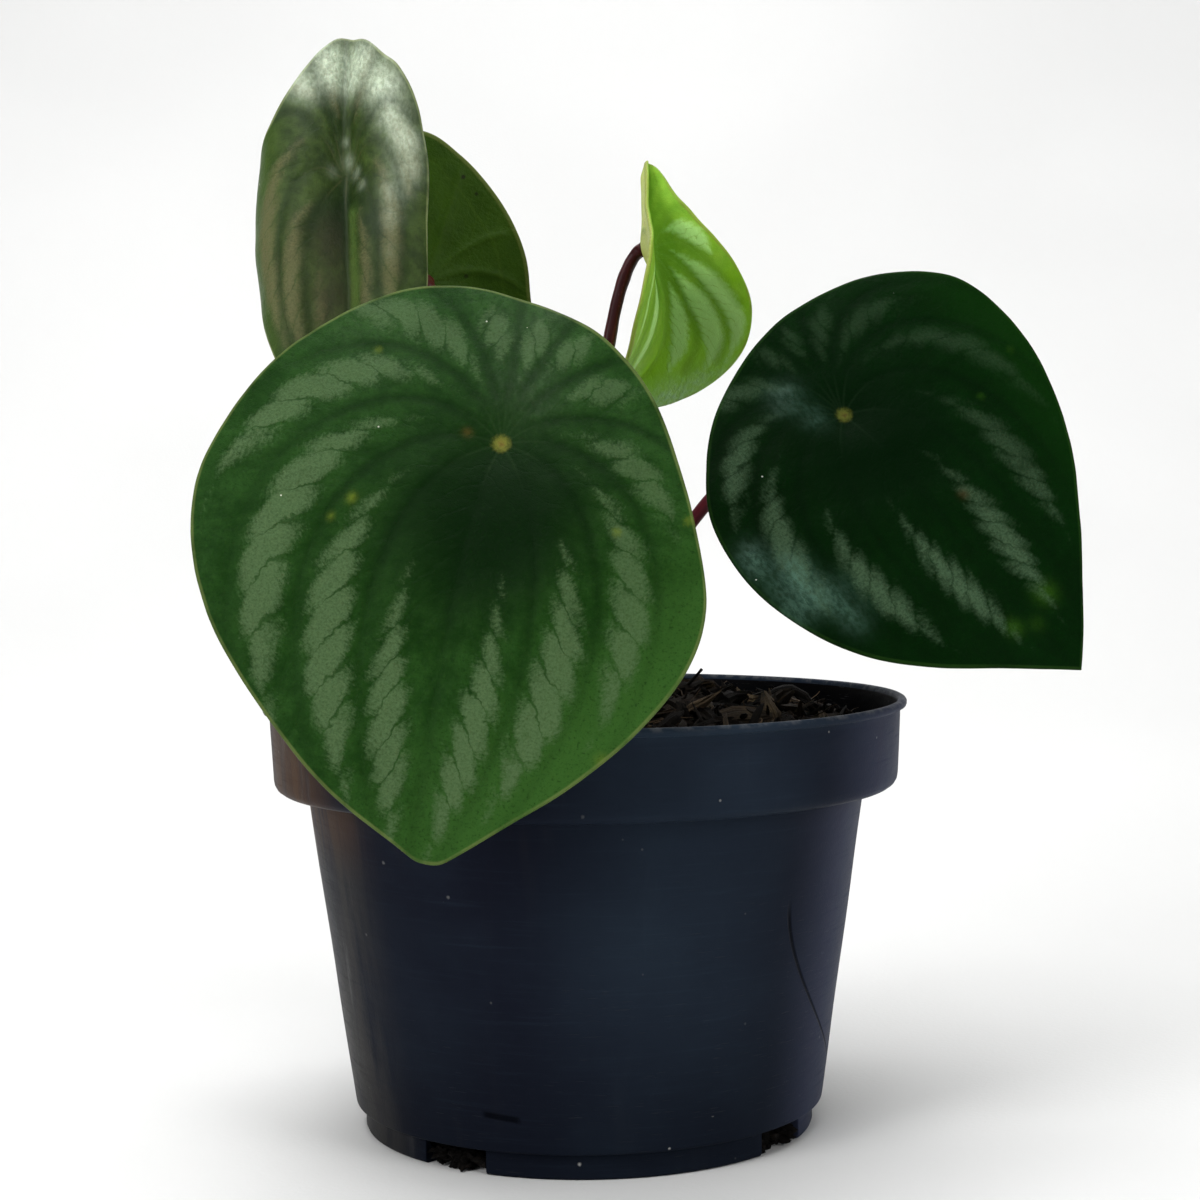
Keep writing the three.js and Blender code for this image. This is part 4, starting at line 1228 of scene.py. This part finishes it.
def underside_group():
    """The lower face: plain and duller, with paler ribs, faint cross veins and small specks."""
    tree, given, give = new_group(
        "blade_underside", ("Flat", "Bands", "Growth"), ("Base", "Pale", "Rib", "Speck", "Rim"),
        {"Ribs": 0.1}, ("Color", "Roughness", "Height"),
    )
    flat = stretch(given["Flat"], (100, 100, 0))
    rib = 10 * part(given["Bands"], 1)
    along, rim = 100 * part(given["Growth"], 0), 100 * part(given["Growth"], 1)
    coarse = noise(flat, 0.12, 3)
    fine = noise(flat, 1.3, 4, 0.65)
    beat = (2 * coarse + along / 1.7).math("PINGPONG", 1.0)
    gap, own = cells(flat, 0.3)
    give("Color", paint(
        given["Base"],
        (0.7 * fade(coarse, 0.2, 0.8) + 0.15, given["Pale"]),
        (fade(1.6 * coarse + rib, 1.5, 0.6) * given["Ribs"], given["Rib"]),
        (0.12 * fade(beat, 0.16, 0.02), given["Rib"]),
        (0.2 * fade(abs(3 * coarse + rim - 6.4), 0.5, 0.1), given["Rib"]),
        (0.3 * fade(fine, 0.45, 0.75), given["Pale"]),
        (0.8 * fade(gap, 0.18, 0.08) * fade(own, 0.86, 0.9), given["Speck"]),
        (0.7 * fade(rim, 0.6, 0.15), given["Rim"]),
    ))
    give("Roughness", 0.2 * fine + 0.36)
    give("Height", 0.3 * fade(rib, 0.9, 0.1) + fine)
    return tree


striped_blade = leaf_group()
blade_underside = underside_group()


def upper_material(name, colors, traits, gloss):
    inputs = {title: srgb(*color) for title, color in colors.items()} | traits
    return dress(name, striped_blade, ("Flat", "Bands", "Growth", "Painted_Light", "Brush", "Marks"),
                 inputs, 0.00022, Subsurface_Weight=0.05, Subsurface_Scale=0.001,
                 Specular_IOR_Level=gloss, Coat_Roughness=0.28)


def lower_material(name, colors, ribs):
    inputs = {title: srgb(*color) for title, color in colors.items()} | {"Ribs": ribs}
    return dress(name, blade_underside, ("Flat", "Bands", "Growth"), inputs, 0.00025,
                 Subsurface_Weight=0.05, Subsurface_Scale=0.001, Specular_IOR_Level=0.12)


def build_blade(name, upper, lower, light_way, light_span, dim_place, dim_size):
    """Painted light and shade: the greens are painted lighter along the given way, over the given
    span, and darkest round dim_place.
    """
    leaf = LEAVES[name]
    spokes, rings = leaf["mesh"]
    seed = 3 * sum(ord(letter) for letter in name)
    margin = margin_points(leaf, spokes)
    shares = np.concatenate([[0.004], np.linspace(0, 1, rings + 1)[1:]])
    x = np.concatenate([[0], (shares[:, None] * margin[None, :, 0]).ravel()])
    y = np.concatenate([[0], (shares[:, None] * margin[None, :, 1]).ravel()])
    share = np.concatenate([[0], np.repeat(shares, spokes)])
    sheet, outward = blade_sheet(leaf, x, y, share)
    inside, rib, inward_gap, along = vein_fields(leaf, x, y)
    reach = np.hypot(x, y)
    away = np.clip(reach / 9, 0, 1)
    edge = np.clip((1 - share) / 0.12, 0, 1)
    groove = np.exp(-(rib / 0.9) ** 2) * away * (0.2 + 0.8 * edge)
    wide = np.exp(-(rib / 2.6) ** 2) * away * edge
    raised = np.clip(inside / 1.4 + 0.5, 0, 1)
    swell = undulate(x, y, seed, 15) * 0.14 * away + undulate(x, y, seed + 1, 6.5) * 0.04 * away
    relief = leaf["relief"] * (0.08 * raised * edge - 0.12 * groove - 0.12 * wide) + swell
    thickness = BLADE_THICKNESS + (EDGE_THICKNESS - BLADE_THICKNESS) * share
    thickness = thickness - leaf.get("thin", 0) * (1 - share) * (1 - np.exp(-(reach / 3) ** 2))
    keel = (0.3 * groove + 0.1 * wide) * edge * min(1, 1.6 * leaf["relief"])
    above = sheet + outward * relief[:, None]
    below = sheet + outward * (swell - thickness - keel)[:, None]

    count = len(x)
    brim = slice(count - spokes, count)
    outside = above[brim] - above[count - 2 * spokes:count - spokes]
    outside = outside / np.linalg.norm(outside, axis=1)[:, None]
    middle = (above[brim] + below[brim]) / 2
    half = (above[brim] - below[brim]) / 2
    turns = np.radians([35, 65, 90, 115, 145])
    rounded = [middle + half * math.cos(a) + outside * 0.4 * math.sin(a) for a in turns]
    points = np.concatenate([above, below, *rounded])
    following = [(i, (i + 1) % spokes) for i in range(spokes)]
    top = [(0, 1 + i, 1 + j) for i, j in following]
    top += [(p, s, r, q) for p, q, r, s in ring_faces(len(shares), spokes, 1)]
    bottom = [(count, count + 1 + j, count + 1 + i) for i, j in following]
    bottom += ring_faces(len(shares), spokes, count + 1)
    chain = [count - spokes, *(2 * count + k * spokes for k in range(5)), 2 * count - spokes]
    side = [(start + i, end + i, end + j, start + j)
            for start, end in zip(chain, chain[1:]) for i, j in following]
    blade = add_piece(f"leaf_{name}", points, top + bottom + side, [upper, lower],
                      [f"blade_{name}"])
    kinds = np.array([0, 1, 0, 1], dtype=np.int32)
    runs = [len(top), len(bottom), len(side) // 2, len(side) // 2]
    blade.data.polygons.foreach_set("material_index", np.repeat(kinds, runs))

    def spread(spots):
        """How strongly a point lies in any of the given round patches."""
        total = np.zeros(count)
        for px, py, size, strength in spots:
            total = total + strength * np.exp(-((x - px) ** 2 + (y - py) ** 2) / size ** 2)
        return np.minimum(total, 1)

    margin_reach = np.concatenate([[30], np.tile(np.hypot(*margin.T), len(shares))])
    rim = np.minimum((1 - share) * margin_reach, 20)
    # Painted light: lighter along the lit way, darkest round the dim place.
    lit = x * light_way[0] + y * light_way[1]
    lit = np.clip((lit - light_span[0]) / (light_span[1] - light_span[0]), 0, 1) ** 1.3
    dim = np.exp(-((x - dim_place[0]) ** 2 + (y - dim_place[1]) ** 2) / dim_size ** 2)
    lit = np.clip(0.5 + 0.5 * lit - 0.5 * dim, 0, 1)
    for title, values in {
        "flat": (x / 100, y / 100),
        "bands": (inside / 10, rib / 10),
        "growth": (along / 100, rim / 100),
        "painted_light": (lit, spread(leaf["bloom"])),
        "marks": (spread(leaf["brown"]), spread(leaf["yellow"])),
        "brush": (reach / 100, inward_gap / 10),
    }.items():
        values = np.stack(values, axis=1)
        add_map(blade, title, np.concatenate([values, values, np.tile(values[brim], (5, 1))]))


def build_blades():
    plain = {"Base": (62, 88, 42), "Pale": (80, 104, 54), "Rib": (116, 132, 84),
             "Speck": (40, 34, 20), "Rim": (120, 128, 84)}
    front = upper_material("front_blade", {
        "Deep": (5, 26, 4), "Dark": (20, 50, 12), "Mid": (35, 68, 24), "Silver": (76, 99, 64),
        "Light Green": (48, 84, 32), "Rim": (100, 114, 62), "Spot": (110, 112, 44),
        "Stain": (120, 134, 40), "Brown": (96, 76, 36), "Painted Highlight": (120, 140, 108),
        "Speck": (200, 205, 185),
    }, {"Feather": 0.9, "Veinlets": 0.75, "Patch": 5.6, "Spot Size": 1.9, "Rays": 0.06,
        "Fade Way": (0.018, -0.025, 0), "Band Fade": 0.4, "Softness": 0.3, "Grain": 0.6}, 0.03)
    build_blade("front", front, lower_material("front_underside", plain, 0.3), (0.8, 0.6),
                (14, 50), (2, 14), 22)
    # The right blade's greens are painted much darker than the front blade's: painted shade.
    right = upper_material("right_blade", {
        "Deep": (3, 20, 4), "Dark": (4, 24, 4), "Mid": (5, 30, 5), "Silver": (62, 84, 60),
        "Light Green": (10, 40, 6), "Rim": (30, 56, 18), "Spot": (84, 88, 34), "Stain": (37, 69, 14),
        "Brown": (62, 46, 26), "Painted Highlight": (85, 121, 104), "Speck": (190, 195, 185),
    }, {"Feather": 0.7, "Veinlets": 0.4, "Patch": 4.6, "Spot Size": 1.8, "Rays": 0.05,
        "Mottle": 0.35, "Fade Way": (0.04, -0.03, 0), "Band Fade": 0.75, "Softness": 0.7,
        "Ripple": 0.6, "Grain": 0.4}, 0.012)
    build_blade("right", right, lower_material("right_underside", plain, 0.3), (1, 0.1), (14, 40),
                (0, 6), 18)
    upper = upper_material("upper_blade", {
        "Deep": (18, 36, 10), "Dark": (36, 52, 20), "Mid": (64, 82, 36), "Silver": (97, 97, 64),
        "Light Green": (62, 86, 34), "Rim": (140, 150, 100), "Spot": (70, 80, 46),
        "Stain": (84, 110, 50), "Brown": (64, 60, 43), "Painted Highlight": (200, 214, 188),
        "Speck": (200, 200, 180),
    }, {"Feather": 0.4, "Veinlets": 0.4, "Patch": 6.0, "Spot Size": 0.9, "Rays": 0.2,
        "Softness": 0.5, "Ripple": 0.45, "Grain": 0.35}, 0.12)
    build_blade("upper", upper, lower_material("upper_underside", plain, 0.3), (-1, 0), (8, 22),
                (0, 10), 8)
    back = upper_material("back_blade", {
        "Deep": (18, 48, 16), "Dark": (30, 70, 20), "Mid": (50, 96, 32), "Silver": (104, 134, 94),
        "Light Green": (70, 122, 42), "Rim": (124, 140, 84), "Spot": (160, 166, 84),
        "Stain": (140, 150, 60), "Brown": (92, 70, 34), "Painted Highlight": (150, 170, 140),
        "Speck": (215, 220, 200),
    }, {"Feather": 1.0, "Veinlets": 1.0, "Patch": 6.0, "Spot Size": 1.7, "Rays": 0.1}, 0.12)
    # The back blade's underside gets dark olive greens, not the pale green of the others: painted
    # shade.
    olive = {"Base": (38, 64, 5), "Pale": (56, 86, 14), "Rib": (74, 102, 28),
             "Speck": (22, 20, 6), "Rim": (96, 108, 50)}
    build_blade("back", back, lower_material("back_underside", olive, 0.07), (1, 0), (10, 26),
                (0, 8), 14)
    # The young blade's greens are pale: partly its own young colour, partly painted light.
    young = upper_material("young_blade", {
        "Deep": (102, 150, 40), "Dark": (122, 172, 48), "Mid": (143, 190, 60),
        "Silver": (188, 236, 144), "Light Green": (158, 218, 64), "Rim": (132, 134, 62),
        "Spot": (140, 180, 60), "Stain": (140, 200, 10), "Brown": (122, 140, 62),
        "Painted Highlight": (186, 230, 166), "Speck": (210, 216, 180),
    }, {"Feather": 0.2, "Veinlets": 0.5, "Patch": 2.4, "Spot Size": 0.4, "Rays": 0.05,
        "Mottle": 0.2, "Softness": -0.3, "Grain": 0.1, "Silver Share": 0.88}, 0.06)
    lime = {"Base": (170, 184, 92), "Pale": (192, 200, 114), "Rib": (126, 156, 64),
            "Speck": (150, 140, 80), "Rim": (126, 136, 62)}
    build_blade("young", young, lower_material("young_underside", lime, 0.6), (0.6, 0.8),
                (10, 24), (0, 6), 6)


build_blades()


# The studio: a pale paper floor that sweeps up behind the plant, a broad soft light from the
# front left and above, weaker ones from both sides, and a pale even surround.
def paper_material():
    material, tree, shader = new_material("paper", Roughness=0.85)
    place = put(tree, "TexCoord", output=3)
    cloud = fade(noise(place, 3, 2), 0.3, 0.7)
    color = paint(srgb(226, 226, 225), (cloud, srgb(232, 232, 231)))
    tree.links.new(color.socket, shader.inputs["Base Color"])
    link_bump(tree, shader, noise(place, 900, 2), 0.00005)
    return material


def build_studio():
    path = [(-7, 0), (0.2, 0)]
    path += [(0.2 + math.sin(a), 1 - math.cos(a)) for a in np.linspace(0.03, 1.57, 48)]
    path.append((1.2, 2.6))
    points = [(x, y, z) for y, z in path for x in (-7, 7)]
    faces = [(2 * k, 2 * k + 1, 2 * k + 3, 2 * k + 2) for k in range(len(path) - 1)]
    mesh = bpy.data.meshes.new("paper_sweep")
    mesh.from_pydata(points, [], faces)
    mesh.shade_smooth()
    mesh.materials.append(paper_material())
    sweep = bpy.data.objects.new("paper_sweep", mesh)
    bpy.context.collection.objects.link(sweep)
    lamps = (
        ("key", (-0.85, -0.75, 0.55), 0.5, 0.7, 7.5),
        ("fill_right", (0.8, -0.7, 0.4), 0.4, 0.7, 4.2),
        ("top", (-0.1, 0.1, 1.0), 0.7, 0.5, 4.5),
        ("window", (-0.1, -0.55, 0.95), 0.45, 0.35, 4.0),
        ("backdrop", (0, 0.35, 1.3), 1.6, 0.4, 9.0),
    )
    aims = {"backdrop": (0, 1.2, 0.5)}
    for name, place, width, height, power in lamps:
        light = bpy.data.lights.new(name, "AREA")
        light.shape = "RECTANGLE"
        light.size = width
        light.size_y = height
        light.energy = power
        lamp = bpy.data.objects.new(name, light)
        lamp.location = place
        aim = Vector(aims.get(name, (0, 0, 0.1))) - Vector(place)
        lamp.rotation_euler = aim.to_track_quat("-Z", "Y").to_euler()
        bpy.context.collection.objects.link(lamp)
    world = bpy.data.worlds.new("surround")
    world.use_nodes = True
    sky = world.node_tree
    toward_back = part(put(sky, "TexCoord", output=0), 1)
    shade = paint(srgb(120, 122, 126), (fade(toward_back, -0.5, 0.4), srgb(238, 240, 242)))
    sky.links.new(shade.socket, sky.nodes["Background"].inputs["Color"])
    sky.nodes["Background"].inputs["Strength"].default_value = 0.3
    bpy.context.scene.world = world
    bpy.context.scene.view_settings.view_transform = "Standard"


build_studio()
